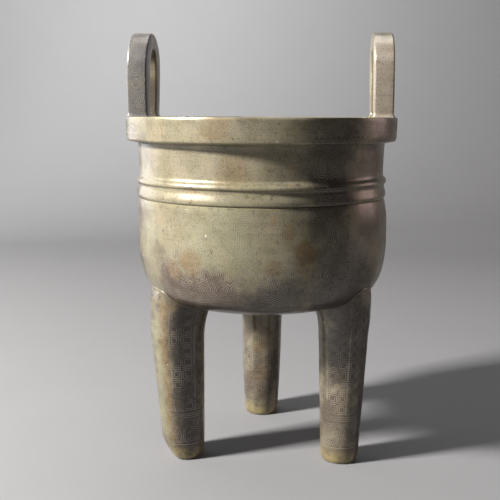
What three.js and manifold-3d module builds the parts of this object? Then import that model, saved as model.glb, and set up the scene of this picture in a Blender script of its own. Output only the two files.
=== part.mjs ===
// A tripod ding: one bronze casting, made of a hollow bowl with a banded rim, two loop handles
// standing on the rim and three tapering legs. Millimetres, +Z up, feet on Z = 0.
// The handles stand on the X axis; one leg points along +Y and two stand in front of it.
import * as THREE from 'three';
import { mergeVertices } from 'three/addons/utils/BufferGeometryUtils.js';
import Module from 'manifold-3d';

// ---- driving dimensions ----
const TOTAL_HEIGHT = 250.2;
const RIM_TOP = 201.7;
const RIM_RADIUS = 80.0;
const RIM_BOTTOM = 188.2;
const MOUTH_RADIUS = 64.3;
const NECK_RADIUS = 72.45;
const RING_TOP = 167.3;
const RING_BOTTOM = 155.5;
const RING_RADIUS = 74.5;
const WALL = 5.8;
const BODY_SEGMENTS = 64;
// The bowl hangs a little off the rim's centre, as its mould was set.
const BELLY_SHIFT = 1.0;
const BELLY_SHIFT_FROM_Z = 157.0;
const BELLY_SHIFT_TO_Z = 142.0;
// radius and height down the belly, round its turn and to the middle of the underside
const BELLY_PROFILE = [
  [73.8, 152.0],
  [74.35, 135.0],
  [74.3, 127.0],
  [73.5, 118.2],
  [71.9, 110.8],
  [70.4, 107.1],
  [68.4, 103.3],
  [65.6, 99.7],
  [62.0, 96.9],
  [57.0, 94.7],
  [50.3, 92.9],
  [33.5, 89.5],
  [16.8, 87.5],
  [0, 86.9],
];

const HANDLE_OUTER = 75.8;
const HANDLE_INNER = 64.2;
const HANDLE_HALF_WIDTH = 21.9;
const HANDLE_FOOT_HALF_WIDTH = 18.6;
const HANDLE_SPRING_Z = 230.2;
const HANDLE_EDGE_RADIUS = 1.2;
const HANDLE_LEAN = 0.7;
const LOOP_HALF_WIDTH = 9.3;
const LOOP_TOP = 240.7;
const LOOP_SPRING_Z = 227.5;
const HANDLE_SUNK = 6.0;
const LOOP_SUNK = 1.5;

// Each leg was set by hand, so angle, stance and girth differ a little from leg to leg.
const LEGS = [
  { angle: 211.2, footRadius: 51.2, kneeRadius: 54.9, topRadius: 54.2, girth: 1.03, worn: 5.6 },
  { angle: 332.6, footRadius: 55.5, kneeRadius: 56.7, topRadius: 58.2, girth: 0.945, worn: 0 },
  { angle: 92.3, footRadius: 51.6, kneeRadius: 53.5, topRadius: 54.2, girth: 0.99, worn: 0 },
];
const LEG_SEGMENTS = 28;
// One foot is rubbed away on its outer side, from this height down.
const WORN_HEIGHT = 15;
const WORN_TURN = -12;
// height, radial half-width, tangential half-width, squareness, shift towards the axis
const LEG_SECTIONS = [
  { z: 0, radial: 10.1, tangential: 9.7, square: 2.05, inward: 0 },
  { z: 0.7, radial: 11.0, tangential: 10.6, square: 2.05, inward: 0 },
  { z: 2.4, radial: 11.6, tangential: 11.15, square: 2.05, inward: 0 },
  { z: 9, radial: 12.1, tangential: 11.65, square: 2.06, inward: 0 },
  { z: 25, radial: 12.7, tangential: 12.45, square: 2.15, inward: 0 },
  { z: 45, radial: 13.45, tangential: 13.05, square: 2.25, inward: 0 },
  { z: 65, radial: 14.2, tangential: 13.6, square: 2.4, inward: 0 },
  { z: 80, radial: 14.9, tangential: 14.05, square: 2.52, inward: 0.1 },
  { z: 87, radial: 15.6, tangential: 14.35, square: 2.6, inward: 0.6 },
  { z: 93, radial: 16.55, tangential: 14.75, square: 2.68, inward: 1.75 },
  { z: 98.5, radial: 16.0, tangential: 14.75, square: 2.7, inward: 1.45 },
  { z: 103, radial: 14.9, tangential: 14.5, square: 2.75, inward: 1.2 },
  { z: 113, radial: 12.5, tangential: 12.9, square: 2.6, inward: 0.6 },
];
const KNEE_Z = 75;
const LEG_TOP_Z = 103;

// ---- helpers ----
const wasm = await Module();
wasm.setup();

function toManifold(geometry) {
  const plain = new THREE.BufferGeometry();
  plain.setAttribute('position', geometry.getAttribute('position').clone());
  if (geometry.index) plain.setIndex(geometry.index.clone());
  const welded = mergeVertices(plain, 1e-4);
  const vertProperties = new Float32Array(welded.getAttribute('position').array);
  const triVerts = new Uint32Array(welded.index.array);
  return new wasm.Manifold(new wasm.Mesh({ numProp: 3, vertProperties, triVerts }));
}

function toGeometry(manifold) {
  const mesh = manifold.getMesh();
  const geometry = new THREE.BufferGeometry();
  const positions = new Float32Array(mesh.vertProperties);
  geometry.setAttribute('position', new THREE.BufferAttribute(positions, 3));
  geometry.setIndex(new THREE.BufferAttribute(new Uint32Array(mesh.triVerts), 1));
  geometry.computeVertexNormals();
  return geometry;
}

function shiftBelly(geometry) {
  const position = geometry.getAttribute('position');
  for (let i = 0; i < position.count; i += 1) {
    const depth = (BELLY_SHIFT_FROM_Z - position.getZ(i)) / (BELLY_SHIFT_FROM_Z - BELLY_SHIFT_TO_Z);
    position.setX(i, position.getX(i) + BELLY_SHIFT * THREE.MathUtils.smoothstep(depth, 0, 1));
  }
}

function turned(profile) {
  const points = profile.map(([radius, z]) => new THREE.Vector2(radius, z));
  const geometry = new THREE.LatheGeometry(points, BODY_SEGMENTS);
  geometry.rotateX(Math.PI / 2);
  shiftBelly(geometry);
  return toManifold(geometry);
}

// ---- bowl ----
const outerProfile = [
  ...BELLY_PROFILE.slice().reverse(),
  [NECK_RADIUS + 0.95, RING_BOTTOM - 0.5],
  [NECK_RADIUS + 0.45, RING_BOTTOM],
  [RING_RADIUS - 0.75, RING_BOTTOM + 0.3],
  [RING_RADIUS - 0.35, RING_BOTTOM + 1.2],
  [RING_RADIUS - 0.65, RING_BOTTOM + 3.4],
  [RING_RADIUS - 1.3, RING_BOTTOM + 6.2],
  [RING_RADIUS - 1.15, RING_BOTTOM + 7.8],
  [RING_RADIUS - 0.15, RING_BOTTOM + 8.8],
  [RING_RADIUS - 0.05, RING_TOP - 1.8],
  [NECK_RADIUS + 0.75, RING_TOP],
  [NECK_RADIUS, RING_TOP + 2.2],
  [NECK_RADIUS + 0.25, 179],
  [NECK_RADIUS + 0.8, RIM_BOTTOM - 1.4],
  [RIM_RADIUS - 3.2, RIM_BOTTOM - 0.6],
  [RIM_RADIUS - 0.9, RIM_BOTTOM],
  [RIM_RADIUS - 0.35, RIM_BOTTOM + 1.1],
  [RIM_RADIUS, 196],
  [RIM_RADIUS - 0.05, RIM_TOP - 0.7],
  [RIM_RADIUS - 0.75, RIM_TOP],
  [0, RIM_TOP],
];

// The same line moved inwards by the wall, from the axis up to the belly.
function insetProfile(profile, wall) {
  const moved = [];
  for (let i = profile.length - 2; i > 0; i -= 2) {
    const [r0, z0] = profile[i + 1];
    const [r1, z1] = profile[i - 1];
    const length = Math.hypot(r1 - r0, z1 - z0);
    moved.push([profile[i][0] - (wall * (z1 - z0)) / length, profile[i][1] + (wall * (r1 - r0)) / length]);
  }
  return moved;
}

const innerProfile = [
  [0, BELLY_PROFILE[BELLY_PROFILE.length - 1][1] + WALL],
  ...insetProfile(BELLY_PROFILE, WALL),
  [BELLY_PROFILE[0][0] - WALL, 152],
  [NECK_RADIUS - WALL, 162],
  [NECK_RADIUS - WALL, 183],
  [MOUTH_RADIUS + 0.4, 190.5],
  [MOUTH_RADIUS, 193],
  [MOUTH_RADIUS, RIM_TOP - 0.9],
  [MOUTH_RADIUS + 0.9, RIM_TOP],
  [MOUTH_RADIUS + 0.9, RIM_TOP + 10],
  [0, RIM_TOP + 10],
];

// ---- legs ----
// Distance of a leg's middle from the axis: foot to knee, then knee to bowl.
function stanceAt(leg, z) {
  if (z < KNEE_Z) return THREE.MathUtils.lerp(leg.footRadius, leg.kneeRadius, z / KNEE_Z);
  const rise = Math.min((z - KNEE_Z) / (LEG_TOP_Z - KNEE_Z), 1);
  return THREE.MathUtils.lerp(leg.kneeRadius, leg.topRadius, rise);
}

// How much of the radius is rubbed away, 0 where the foot is whole.
function wornAt(leg, z, turn) {
  const low = Math.max(1 - z / WORN_HEIGHT, 0);
  const facing = Math.max(Math.cos(turn - THREE.MathUtils.degToRad(WORN_TURN)), 0);
  return leg.worn * low * low * facing * facing;
}

function legSection(section, leg) {
  const angle = THREE.MathUtils.degToRad(leg.angle);
  const radialX = Math.cos(angle);
  const radialY = Math.sin(angle);
  const stance = stanceAt(leg, section.z) - section.inward;
  const ring = [];
  for (let i = 0; i < LEG_SEGMENTS; i += 1) {
    const turn = (2 * Math.PI * i) / LEG_SEGMENTS;
    const c = Math.cos(turn);
    const s = Math.sin(turn);
    const power = 2 / section.square;
    const worn = wornAt(leg, section.z, turn);
    const along = stance + (section.radial * leg.girth - worn) * Math.sign(c) * Math.abs(c) ** power;
    const across = (section.tangential * leg.girth - worn) * Math.sign(s) * Math.abs(s) ** power;
    ring.push([along * radialX - across * radialY, along * radialY + across * radialX, section.z]);
  }
  return ring;
}

function legSolid(leg) {
  const positions = [];
  const index = [];
  const rings = LEG_SECTIONS.map((section) => legSection(section, leg));
  rings.forEach((ring) => ring.forEach((point) => positions.push(...point)));
  for (let r = 0; r < rings.length - 1; r += 1) {
    for (let i = 0; i < LEG_SEGMENTS; i += 1) {
      const a = r * LEG_SEGMENTS + i;
      const b = r * LEG_SEGMENTS + ((i + 1) % LEG_SEGMENTS);
      index.push(a, b, b + LEG_SEGMENTS);
      index.push(a, b + LEG_SEGMENTS, a + LEG_SEGMENTS);
    }
  }
  const last = (rings.length - 1) * LEG_SEGMENTS;
  for (let i = 1; i < LEG_SEGMENTS - 1; i += 1) {
    index.push(0, i + 1, i);
    index.push(last, last + i, last + i + 1);
  }
  const geometry = new THREE.BufferGeometry();
  geometry.setAttribute('position', new THREE.Float32BufferAttribute(positions, 3));
  geometry.setIndex(index);
  return toManifold(geometry);
}

// ---- handles ----
// Sampled outline without the doubled points where one curve meets the next.
function cleanOutline(path) {
  const kept = [];
  for (const point of path.getPoints(12)) {
    if (kept.length === 0 || point.distanceTo(kept[kept.length - 1]) > 0.05) kept.push(point);
  }
  if (kept[0].distanceTo(kept[kept.length - 1]) < 0.05) kept.pop();
  return kept;
}

function handleOutline() {
  const foot = RIM_TOP - HANDLE_SUNK;
  const rise = TOTAL_HEIGHT - HANDLE_SPRING_Z;
  const shape = new THREE.Shape();
  shape.moveTo(-HANDLE_FOOT_HALF_WIDTH, foot);
  shape.lineTo(HANDLE_FOOT_HALF_WIDTH, foot);
  shape.bezierCurveTo(
    HANDLE_FOOT_HALF_WIDTH + 1.6, foot + 9,
    HANDLE_HALF_WIDTH, HANDLE_SPRING_Z - 12,
    HANDLE_HALF_WIDTH, HANDLE_SPRING_Z,
  );
  shape.absellipse(0, HANDLE_SPRING_Z, HANDLE_HALF_WIDTH, rise, 0, Math.PI, false, 0);
  shape.bezierCurveTo(
    -HANDLE_HALF_WIDTH, HANDLE_SPRING_Z - 12,
    -HANDLE_FOOT_HALF_WIDTH - 1.6, foot + 9,
    -HANDLE_FOOT_HALF_WIDTH, foot,
  );
  return cleanOutline(shape);
}

function loopOutline() {
  const foot = RIM_TOP - LOOP_SUNK;
  const loop = new THREE.Shape();
  loop.moveTo(-LOOP_HALF_WIDTH, foot);
  loop.lineTo(LOOP_HALF_WIDTH, foot);
  loop.lineTo(LOOP_HALF_WIDTH, LOOP_SPRING_Z);
  loop.absellipse(0, LOOP_SPRING_Z, LOOP_HALF_WIDTH, LOOP_TOP - LOOP_SPRING_Z, 0, Math.PI, false, 0);
  loop.lineTo(-LOOP_HALF_WIDTH, foot);
  return cleanOutline(loop);
}

// The handle's foot stands further out than its arch by the lean.
function leanInwards(geometry) {
  const position = geometry.getAttribute('position');
  for (let i = 0; i < position.count; i += 1) {
    const drop = (LOOP_TOP - position.getZ(i)) / (LOOP_TOP - RIM_TOP);
    position.setX(i, position.getX(i) + HANDLE_LEAN * Math.max(drop, 0));
  }
}

// Extruded along the radius with its edges eased, then stood on the rim.
function handleSolid(side) {
  const depth = HANDLE_OUTER - HANDLE_INNER - 2 * HANDLE_EDGE_RADIUS;
  const eased = {
    depth,
    steps: 1,
    bevelEnabled: true,
    bevelThickness: HANDLE_EDGE_RADIUS,
    bevelSize: HANDLE_EDGE_RADIUS,
    bevelOffset: -HANDLE_EDGE_RADIUS,
    bevelSegments: 2,
  };
  const shape = new THREE.Shape(handleOutline());
  shape.holes.push(new THREE.Path(loopOutline()));
  const geometry = new THREE.ExtrudeGeometry(shape, eased);
  // outline x -> world Y, outline y -> world Z, extrusion -> world X
  geometry.rotateX(Math.PI / 2);
  geometry.rotateZ(Math.PI / 2);
  geometry.translate(HANDLE_INNER + HANDLE_EDGE_RADIUS, 0, 0);
  leanInwards(geometry);
  if (side < 0) geometry.rotateZ(Math.PI);
  return toManifold(geometry);
}

// ---- one casting ----
let casting = turned(outerProfile);
for (const leg of LEGS) {
  casting = casting.add(legSolid(leg));
}
casting = casting.subtract(turned(innerProfile));
for (const side of [1, -1]) {
  casting = casting.add(handleSolid(side));
}

const bronze = new THREE.MeshStandardMaterial({ color: 0x7d6f4c, roughness: 0.42, metalness: 1.0 });
const vessel = new THREE.Mesh(toGeometry(casting), bronze);
vessel.name = 'vessel';

const part = new THREE.Group();
part.name = 'bronze_ding_vessel';
part.add(vessel);

export default part;
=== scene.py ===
"""A tripod ding: one hollow bronze casting with fine wires let into its surface.

Sizes are in millimetres in the classes and become metres when a mesh is made.
+Z is up, the feet stand on Z = 0 and the two handles stand on the X axis.
"""
import logging
import math
from dataclasses import dataclass, field
from enum import Enum
from itertools import product

import bmesh
import bpy
import numpy as np
from mathutils import Matrix, Vector, noise


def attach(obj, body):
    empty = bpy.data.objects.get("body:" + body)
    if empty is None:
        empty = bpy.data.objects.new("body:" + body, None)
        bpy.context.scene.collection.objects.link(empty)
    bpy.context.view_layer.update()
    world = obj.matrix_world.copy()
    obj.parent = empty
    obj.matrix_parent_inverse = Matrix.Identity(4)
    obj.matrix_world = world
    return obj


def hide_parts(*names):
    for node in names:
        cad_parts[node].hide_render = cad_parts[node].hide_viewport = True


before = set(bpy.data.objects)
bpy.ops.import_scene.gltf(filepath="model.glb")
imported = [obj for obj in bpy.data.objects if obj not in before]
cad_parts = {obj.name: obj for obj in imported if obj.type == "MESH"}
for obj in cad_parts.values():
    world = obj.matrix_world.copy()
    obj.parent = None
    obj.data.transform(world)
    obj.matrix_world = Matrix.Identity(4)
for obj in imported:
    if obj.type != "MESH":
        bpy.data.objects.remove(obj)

LOG = logging.getLogger("ding")
MM = 0.001
CASTING_NODE = "vessel"
BODY = "root"

Pair = tuple[float, float]
Triple = tuple[float, float, float]
Polyline = np.ndarray
Place = tuple[np.ndarray, np.ndarray]
Solid = bpy.types.Object
Socket = bpy.types.NodeSocket
Material = bpy.types.Material

WAVE_SIZE, WAVE_RISE = 21.0, 0.13
RIPPLE_SIZE, RIPPLE_RISE = 8.0, 0.035
RIPPLE_START = Vector((7, 3, 5))
SOLE_FADE = 9.0
NOISE_ROUGHNESS = 0.6


# ---------------------------------------------------------------- small tools


def smoothstep(value: float, low: float, high: float) -> float:
    """Ease from 0 at low to 1 at high."""
    t = min(max((value - low) / (high - low), 0.0), 1.0)
    return t * t * (3.0 - 2.0 * t)


def curve_table(xs: np.ndarray, ys: np.ndarray, at: np.ndarray) -> np.ndarray:
    """Read a smooth curve that passes through a table without overshooting it.

    Args:
        xs: Rising positions of the table.
        ys: Values at those positions.
        at: Positions to read.

    Returns:
        The value at each position.
    """
    xs, ys, at = np.asarray(xs, float), np.asarray(ys, float), np.asarray(at, float)
    step = np.diff(xs)
    slope = np.diff(ys) / step
    tangent = np.zeros_like(ys)
    tangent[0], tangent[-1] = slope[0], slope[-1]
    same = slope[:-1] * slope[1:] > 0
    weight = (2 * step[1:] + step[:-1], step[1:] + 2 * step[:-1])
    total = weight[0] + weight[1]
    safe_a = np.where(same, slope[:-1], 1.0)
    safe_b = np.where(same, slope[1:], 1.0)
    tangent[1:-1] = np.where(same, total / (weight[0] / safe_a + weight[1] / safe_b), 0.0)
    at = np.clip(at, xs[0], xs[-1])
    k = np.clip(np.searchsorted(xs, at, side="right") - 1, 0, len(step) - 1)
    t = (at - xs[k]) / step[k]
    h00 = (1 + 2 * t) * (1 - t) ** 2
    h10 = t * (1 - t) ** 2
    h01 = t * t * (3 - 2 * t)
    h11 = t * t * (t - 1)
    return (
        h00 * ys[k] + h10 * step[k] * tangent[k] + h01 * ys[k + 1] + h11 * step[k] * tangent[k + 1]
    )


def rounded_line(points: list[Pair], spacing: float) -> list[Pair]:
    """Sample a centripetal Catmull-Rom curve through points.

    Args:
        points: Points that the curve passes through.
        spacing: Longest step between samples.

    Returns:
        The sampled points, both ends included.
    """
    knots = [np.array(p, float) for p in points]
    padded = [2 * knots[0] - knots[1], *knots, 2 * knots[-1] - knots[-2]]
    line: list[Pair] = []
    for p0, p1, p2, p3 in zip(padded, padded[1:], padded[2:], padded[3:]):
        t0 = 0.0
        t1 = t0 + math.sqrt(np.linalg.norm(p1 - p0))
        t2 = t1 + math.sqrt(np.linalg.norm(p2 - p1))
        t3 = t2 + math.sqrt(np.linalg.norm(p3 - p2))
        steps = max(1, math.ceil(float(np.linalg.norm(p2 - p1)) / spacing))
        for i in range(steps):
            t = t1 + (t2 - t1) * i / steps
            a1 = (t1 - t) / (t1 - t0) * p0 + (t - t0) / (t1 - t0) * p1
            a2 = (t2 - t) / (t2 - t1) * p1 + (t - t1) / (t2 - t1) * p2
            a3 = (t3 - t) / (t3 - t2) * p2 + (t - t2) / (t3 - t2) * p3
            b1 = (t2 - t) / (t2 - t0) * a1 + (t - t0) / (t2 - t0) * a2
            b2 = (t3 - t) / (t3 - t1) * a2 + (t - t1) / (t3 - t1) * a3
            c = (t2 - t) / (t2 - t1) * b1 + (t - t1) / (t2 - t1) * b2
            line.append((float(c[0]), float(c[1])))
    line.append((float(knots[-1][0]), float(knots[-1][1])))
    return line


def run_along(line: np.ndarray) -> np.ndarray:
    """Length along a line from its start to each of its points."""
    return np.concatenate([[0.0], np.cumsum(np.linalg.norm(np.diff(line, axis=0), axis=1))])


def unevenness(point: np.ndarray) -> np.ndarray:
    """How far hand finishing has moved the surface at a point.

    Args:
        point: A place on the vessel.

    Returns:
        The shift to add. It fades out at the soles, so that the feet stay flat.
    """
    here = Vector(point)
    shift = noise.noise_vector(here / WAVE_SIZE) * WAVE_RISE
    shift += noise.noise_vector(here / RIPPLE_SIZE + RIPPLE_START) * RIPPLE_RISE
    return np.array(shift) * smoothstep(float(point[2]), 0.0, SOLE_FADE)


def make_object(name: str, vertices: list | np.ndarray, faces: list) -> Solid:
    """Make a linked mesh object from millimetre points.

    Args:
        name: Object and mesh name.
        vertices: Points in millimetres.
        faces: Vertex indices of each face, outwards by the right-hand rule.

    Returns:
        The new object, at the origin.
    """
    mesh = bpy.data.meshes.new(name)
    mesh.from_pydata([tuple(float(c) * MM for c in v) for v in vertices], [], faces)
    mesh.validate()
    obj = bpy.data.objects.new(name, mesh)
    bpy.context.scene.collection.objects.link(obj)
    return obj


def remove_object(obj: Solid) -> None:
    """Delete an object and its mesh.

    Args:
        obj: The object, which nothing uses any more.
    """
    mesh = obj.data
    bpy.data.objects.remove(obj, do_unlink=True)
    bpy.data.meshes.remove(mesh)


def column_faces(rings: int, count: int) -> list[tuple[int, ...]]:
    """List the faces of a stack of rings that a point closes at each end.

    Args:
        rings: Number of rings.
        count: Points in each ring.

    Returns:
        The faces, for vertices that start at the bottom point and end at the top one.
    """
    faces: list[tuple[int, ...]] = []
    top, tip = 1 + (rings - 1) * count, 1 + rings * count
    for j in range(count):
        k = (j + 1) % count
        faces.append((0, 1 + k, 1 + j))
        for ring in range(1, top, count):
            faces.append((ring + j, ring + k, ring + k + count, ring + j + count))
        faces.append((top + j, top + k, tip))
    return faces


class Join(Enum):
    """How one solid is combined with another."""

    ADD = "UNION"
    CUT = "DIFFERENCE"


def combine(base: Solid, tool: Solid, how: Join) -> None:
    """Combine a solid with another one and delete the other.

    Args:
        base: The solid that is kept and changed.
        tool: The solid that is added or cut away.
        how: Whether the tool is added or cut.
    """
    modifier = base.modifiers.new("join", "BOOLEAN")
    modifier.operation = how.value
    modifier.solver = "MANIFOLD"
    modifier.object = tool
    settle(base)
    remove_object(tool)


def settle(obj: Solid) -> None:
    """Turn an object's live modifiers into its plain mesh.

    Args:
        obj: The object that has them.
    """
    graph = bpy.context.evaluated_depsgraph_get()
    fresh = bpy.data.meshes.new_from_object(obj.evaluated_get(graph), depsgraph=graph)
    stale = obj.data
    obj.modifiers.clear()
    obj.data = fresh
    fresh.name = stale.name
    bpy.data.meshes.remove(stale)


# ---------------------------------------------------------------- materials


class Nodes:
    """A new material and a short way to add and wire its nodes."""

    def __init__(self, name: str) -> None:
        """Start a material with one shader on an empty tree.

        Args:
            name: The material's name.
        """
        self.material = bpy.data.materials.new(name)
        self.material.use_nodes = True
        self.tree = self.material.node_tree
        self.tree.nodes.clear()
        self.place = self.add("ShaderNodeTexCoord").outputs["Object"]
        self.shader = self.add("ShaderNodeBsdfPrincipled")
        out = self.add("ShaderNodeOutputMaterial")
        self.link(self.shader.outputs["BSDF"], out.inputs["Surface"])

    def gloss(self, metallic: float, coat: float, coat_roughness: float) -> None:
        """Set the shader's plain numbers.

        Args:
            metallic: How far it is bare metal.
            coat: Weight of the waxy coat.
            coat_roughness: Roughness of that coat.
        """
        values = {"Metallic": metallic, "Coat Weight": coat, "Coat Roughness": coat_roughness}
        for name, value in values.items():
            self.shader.inputs[name].default_value = value

    def bump(self, height: Socket, strength: float, depth: float) -> None:
        """Give the shader fine relief.

        Args:
            height: The relief's height, from 0 to 1.
            strength: How much of it shows.
            depth: What a height of 1 is in millimetres.
        """
        relief = self.add("ShaderNodeBump")
        relief.inputs["Strength"].default_value = strength
        relief.inputs["Distance"].default_value = depth * MM
        self.link(height, relief.inputs["Height"])
        self.link(relief.outputs["Normal"], self.shader.inputs["Normal"])

    def add(self, kind: str, **settings: object) -> bpy.types.Node:
        """Add a node.

        Args:
            kind: Blender's name for the node type.
            **settings: Properties to set on it.

        Returns:
            The node.
        """
        node = self.tree.nodes.new(kind)
        for name, value in settings.items():
            setattr(node, name, value)
        return node

    def link(self, source: Socket, target: Socket) -> None:
        """Join an output to an input."""
        self.tree.links.new(source, target)

    def noise(
        self, size: float, detail: float, stretch: Triple = (1, 1, 1), seed: Triple = (0, 0, 0)
    ) -> Socket:
        """Add cloudy noise.

        Args:
            size: Size of a cloud in millimetres.
            detail: Number of finer layers.
            stretch: How much longer the clouds are along each axis.
            seed: Where in the noise to start.

        Returns:
            The noise's value socket.
        """
        mapping = self.add("ShaderNodeMapping")
        mapping.inputs["Location"].default_value = seed
        mapping.inputs["Scale"].default_value = tuple(1.0 / s for s in stretch)
        self.link(self.place, mapping.inputs["Vector"])
        clouds = self.add("ShaderNodeTexNoise")
        clouds.inputs["Scale"].default_value = 1.0 / (size * MM)
        clouds.inputs["Detail"].default_value = detail
        clouds.inputs["Roughness"].default_value = NOISE_ROUGHNESS
        self.link(mapping.outputs["Vector"], clouds.inputs["Vector"])
        return clouds.outputs["Fac"]

    def ramp(self, source: Socket, low: float, high: float, to: Pair = (0.0, 1.0)) -> Socket:
        """Stretch a value range.

        Args:
            source: Value to read.
            low: Value that becomes the first of to.
            high: Value that becomes the second of to.
            to: The range that comes out.

        Returns:
            The stretched value's socket.
        """
        node = self.add("ShaderNodeMapRange", interpolation_type="SMOOTHSTEP")
        for name, value in zip(("From Min", "From Max", "To Min", "To Max"), (low, high, *to)):
            node.inputs[name].default_value = value
        self.link(source, node.inputs["Value"])
        return node.outputs["Result"]

    def combined(self, how: str, one: Socket, other: Socket | float) -> Socket:
        """Work out a value from two others.

        Args:
            how: The node's operation.
            one: First value.
            other: Second value, a socket or a number.

        Returns:
            The result's socket.
        """
        node = self.add("ShaderNodeMath", operation=how)
        self.link(one, node.inputs[0])
        if isinstance(other, (int, float)):
            node.inputs[1].default_value = other
        else:
            self.link(other, node.inputs[1])
        return node.outputs[0]

    def times(self, one: Socket, other: Socket | float) -> Socket:
        """Multiply a value by another value or number."""
        return self.combined("MULTIPLY", one, other)

    def plus(self, one: Socket, other: Socket | float) -> Socket:
        """Add another value or number to a value."""
        return self.combined("ADD", one, other)

    def mix(self, amount: Socket, under: Socket | Triple, over: Socket | Triple) -> Socket:
        """Lay one colour over another.

        Args:
            amount: How much of the upper colour shows.
            under: Lower colour, a socket or linear RGB.
            over: Upper colour, a socket or linear RGB.

        Returns:
            The mixed colour's socket.
        """
        node = self.add("ShaderNodeMix", data_type="RGBA")
        self.link(amount, node.inputs["Factor"])
        for colour, socket in ((under, node.inputs[6]), (over, node.inputs[7])):
            if isinstance(colour, tuple):
                socket.default_value = (*colour, 1.0)
            else:
                self.link(colour, socket)
        return node.outputs[2]

    def near(self, centre: Triple, radius: float, soft: float) -> Socket:
        """Make a soft-edged ball mask.

        Args:
            centre: Middle of the ball in millimetres.
            radius: Where the mask has faded to nothing.
            soft: Share of the radius over which it fades.

        Returns:
            The mask's socket.
        """
        gap = self.add("ShaderNodeVectorMath", operation="DISTANCE")
        self.link(self.place, gap.inputs[0])
        gap.inputs[1].default_value = tuple(c * MM for c in centre)
        return self.ramp(gap.outputs["Value"], radius * MM, radius * (1 - soft) * MM)

    def height(self) -> Socket:
        """Read the height above the soles.

        Returns:
            The height's socket, in metres.
        """
        split = self.add("ShaderNodeSeparateXYZ")
        self.link(self.place, split.inputs[0])
        return split.outputs["Z"]


@dataclass(frozen=True)
class StainAndShadePatch:
    """A patch with a ragged edge and a colour of its own. Most are stains in the patina; some are painted
    shade and a painted reflection.
    """

    centre: Triple
    radius: float
    colour: Triple
    strength: float
    softness: float = 0.9
    cloud_share: float = 1.3
    edge: Pair = (0.82, 1.42)

    def lay(self, n: Nodes, cloud: Socket, under: Socket) -> Socket:
        """Lay the patch over a colour.

        Args:
            n: The material's nodes.
            cloud: The noise that makes its edge ragged.
            under: The colour it lies on.

        Returns:
            The colour with the patch on it.
        """
        ball = n.plus(n.near(self.centre, self.radius, self.softness), n.times(cloud, self.cloud_share))
        return n.mix(n.times(n.ramp(ball, *self.edge), self.strength), under, self.colour)


@dataclass(frozen=True)
class Patina:
    """The mottled olive, ochre and purple-brown skin that bronze and wire share, with dark patches of
    painted shade and a painted reflection laid over it in places.
    """

    olive: Triple = (0.185, 0.166, 0.100)
    tan: Triple = (0.240, 0.205, 0.132)
    brown: Triple = (0.056, 0.040, 0.033)
    ochre: Triple = (0.25, 0.145, 0.045)
    grime: Triple = (0.045, 0.038, 0.032)
    gold: Triple = (0.27, 0.215, 0.09)
    belly_high: float = 134.0
    belly_low: float = 101.0
    rubbed_high: float = 12.0
    rubbed_low: float = 2.0
    stains_and_painted_shade: tuple[StainAndShadePatch, ...] = ()

    def colour(self, n: Nodes) -> Socket:
        """Mix the skin's colour.

        Args:
            n: The material's nodes.

        Returns:
            The colour's socket.
        """
        mottle = n.noise(14.0, 5.0, seed=(3, 1, 4))
        broad = n.noise(48.0, 3.0)
        amber = n.noise(17.0, 4.0, seed=(2, 6, 5))
        cloud = n.noise(4.6, 6.0, seed=(1, 5, 9))
        colour = n.mix(n.ramp(mottle, 0.36, 0.66), self.olive, self.tan)
        colour = n.mix(n.times(n.ramp(broad, 0.50, 0.68), 0.75), colour, self.brown)
        colour = n.mix(n.times(n.ramp(amber, 0.58, 0.72), 0.45), colour, self.ochre)
        low = n.ramp(n.height(), self.belly_high * MM, self.belly_low * MM)
        patchy = n.ramp(n.noise(9.0, 5.0, seed=(7, 7, 3)), 0.34, 0.62, (0.85, 0.25))
        colour = n.mix(n.times(low, patchy), colour, self.brown)
        # Most patches are stains in the patina. The darkest brown ones and those on the left handle are
        # painted shade and a painted reflection.
        for patch in self.stains_and_painted_shade:
            colour = patch.lay(n, cloud, colour)
        soles = n.ramp(n.height(), self.rubbed_high * MM, self.rubbed_low * MM)
        rubbed = n.times(soles, n.ramp(cloud, 0.30, 0.58, (0.2, 1.0)))
        colour = n.mix(n.times(rubbed, 0.75), colour, self.gold)
        fine = n.noise(1.1, 4.0, seed=(6, 2, 2))
        colour = n.mix(n.times(n.ramp(fine, 0.50, 0.66), 0.42), colour, self.grime)
        colour = n.mix(n.times(n.ramp(fine, 0.46, 0.34), 0.30), colour, self.gold)
        streak = n.ramp(n.noise(1.6, 3.0, stretch=(30, 30, 1), seed=(2, 2, 7)), 0.45, 0.75)
        colour = n.mix(n.times(streak, 0.22), colour, self.grime)
        spots = n.ramp(n.noise(2.6, 4.0, seed=(5, 8, 1)), 0.54, 0.76)
        return n.mix(n.times(spots, 0.22), colour, self.grime)


@dataclass(frozen=True)
class BronzeFinish:
    """Handled bronze under its patina, glossy where hands have rubbed it."""

    patina: Patina
    name: str = "bronze_patina"
    speck: Triple = (0.80, 0.78, 0.72)
    speck_scale: float = 95.0
    metallic: float = 0.26
    roughness: Pair = (0.27, 0.44)
    coat: float = 0.4
    coat_roughness: float = 0.16
    scratch_share: float = 0.35

    def build(self) -> Material:
        """Make the material.

        Returns:
            The finished bronze.
        """
        n = Nodes(self.name)
        colour = self.patina.colour(n)
        dust = n.add("ShaderNodeTexVoronoi", feature="F1")
        dust.inputs["Scale"].default_value = self.speck_scale
        n.link(n.place, dust.inputs["Vector"])
        here = n.ramp(n.noise(26.0, 2.0, seed=(9, 2, 6)), 0.52, 0.62)
        grains = n.times(n.ramp(dust.outputs["Distance"], 0.075, 0.035), here)
        n.link(n.mix(n.times(grains, 0.75), colour, self.speck), n.shader.inputs["Base Color"])
        handled = n.ramp(n.noise(12.0, 4.0, seed=(5, 3, 5)), 0.3, 0.75, self.roughness)
        n.link(handled, n.shader.inputs["Roughness"])
        n.gloss(self.metallic, self.coat, self.coat_roughness)
        scratch = n.noise(1.4, 2.0, stretch=(1, 1, 14), seed=(4, 4, 8))
        grain = n.noise(0.8, 3.0, seed=(8, 8, 2))
        n.bump(n.plus(n.times(scratch, self.scratch_share), grain), strength=0.16, depth=0.2)
        return n.material


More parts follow.
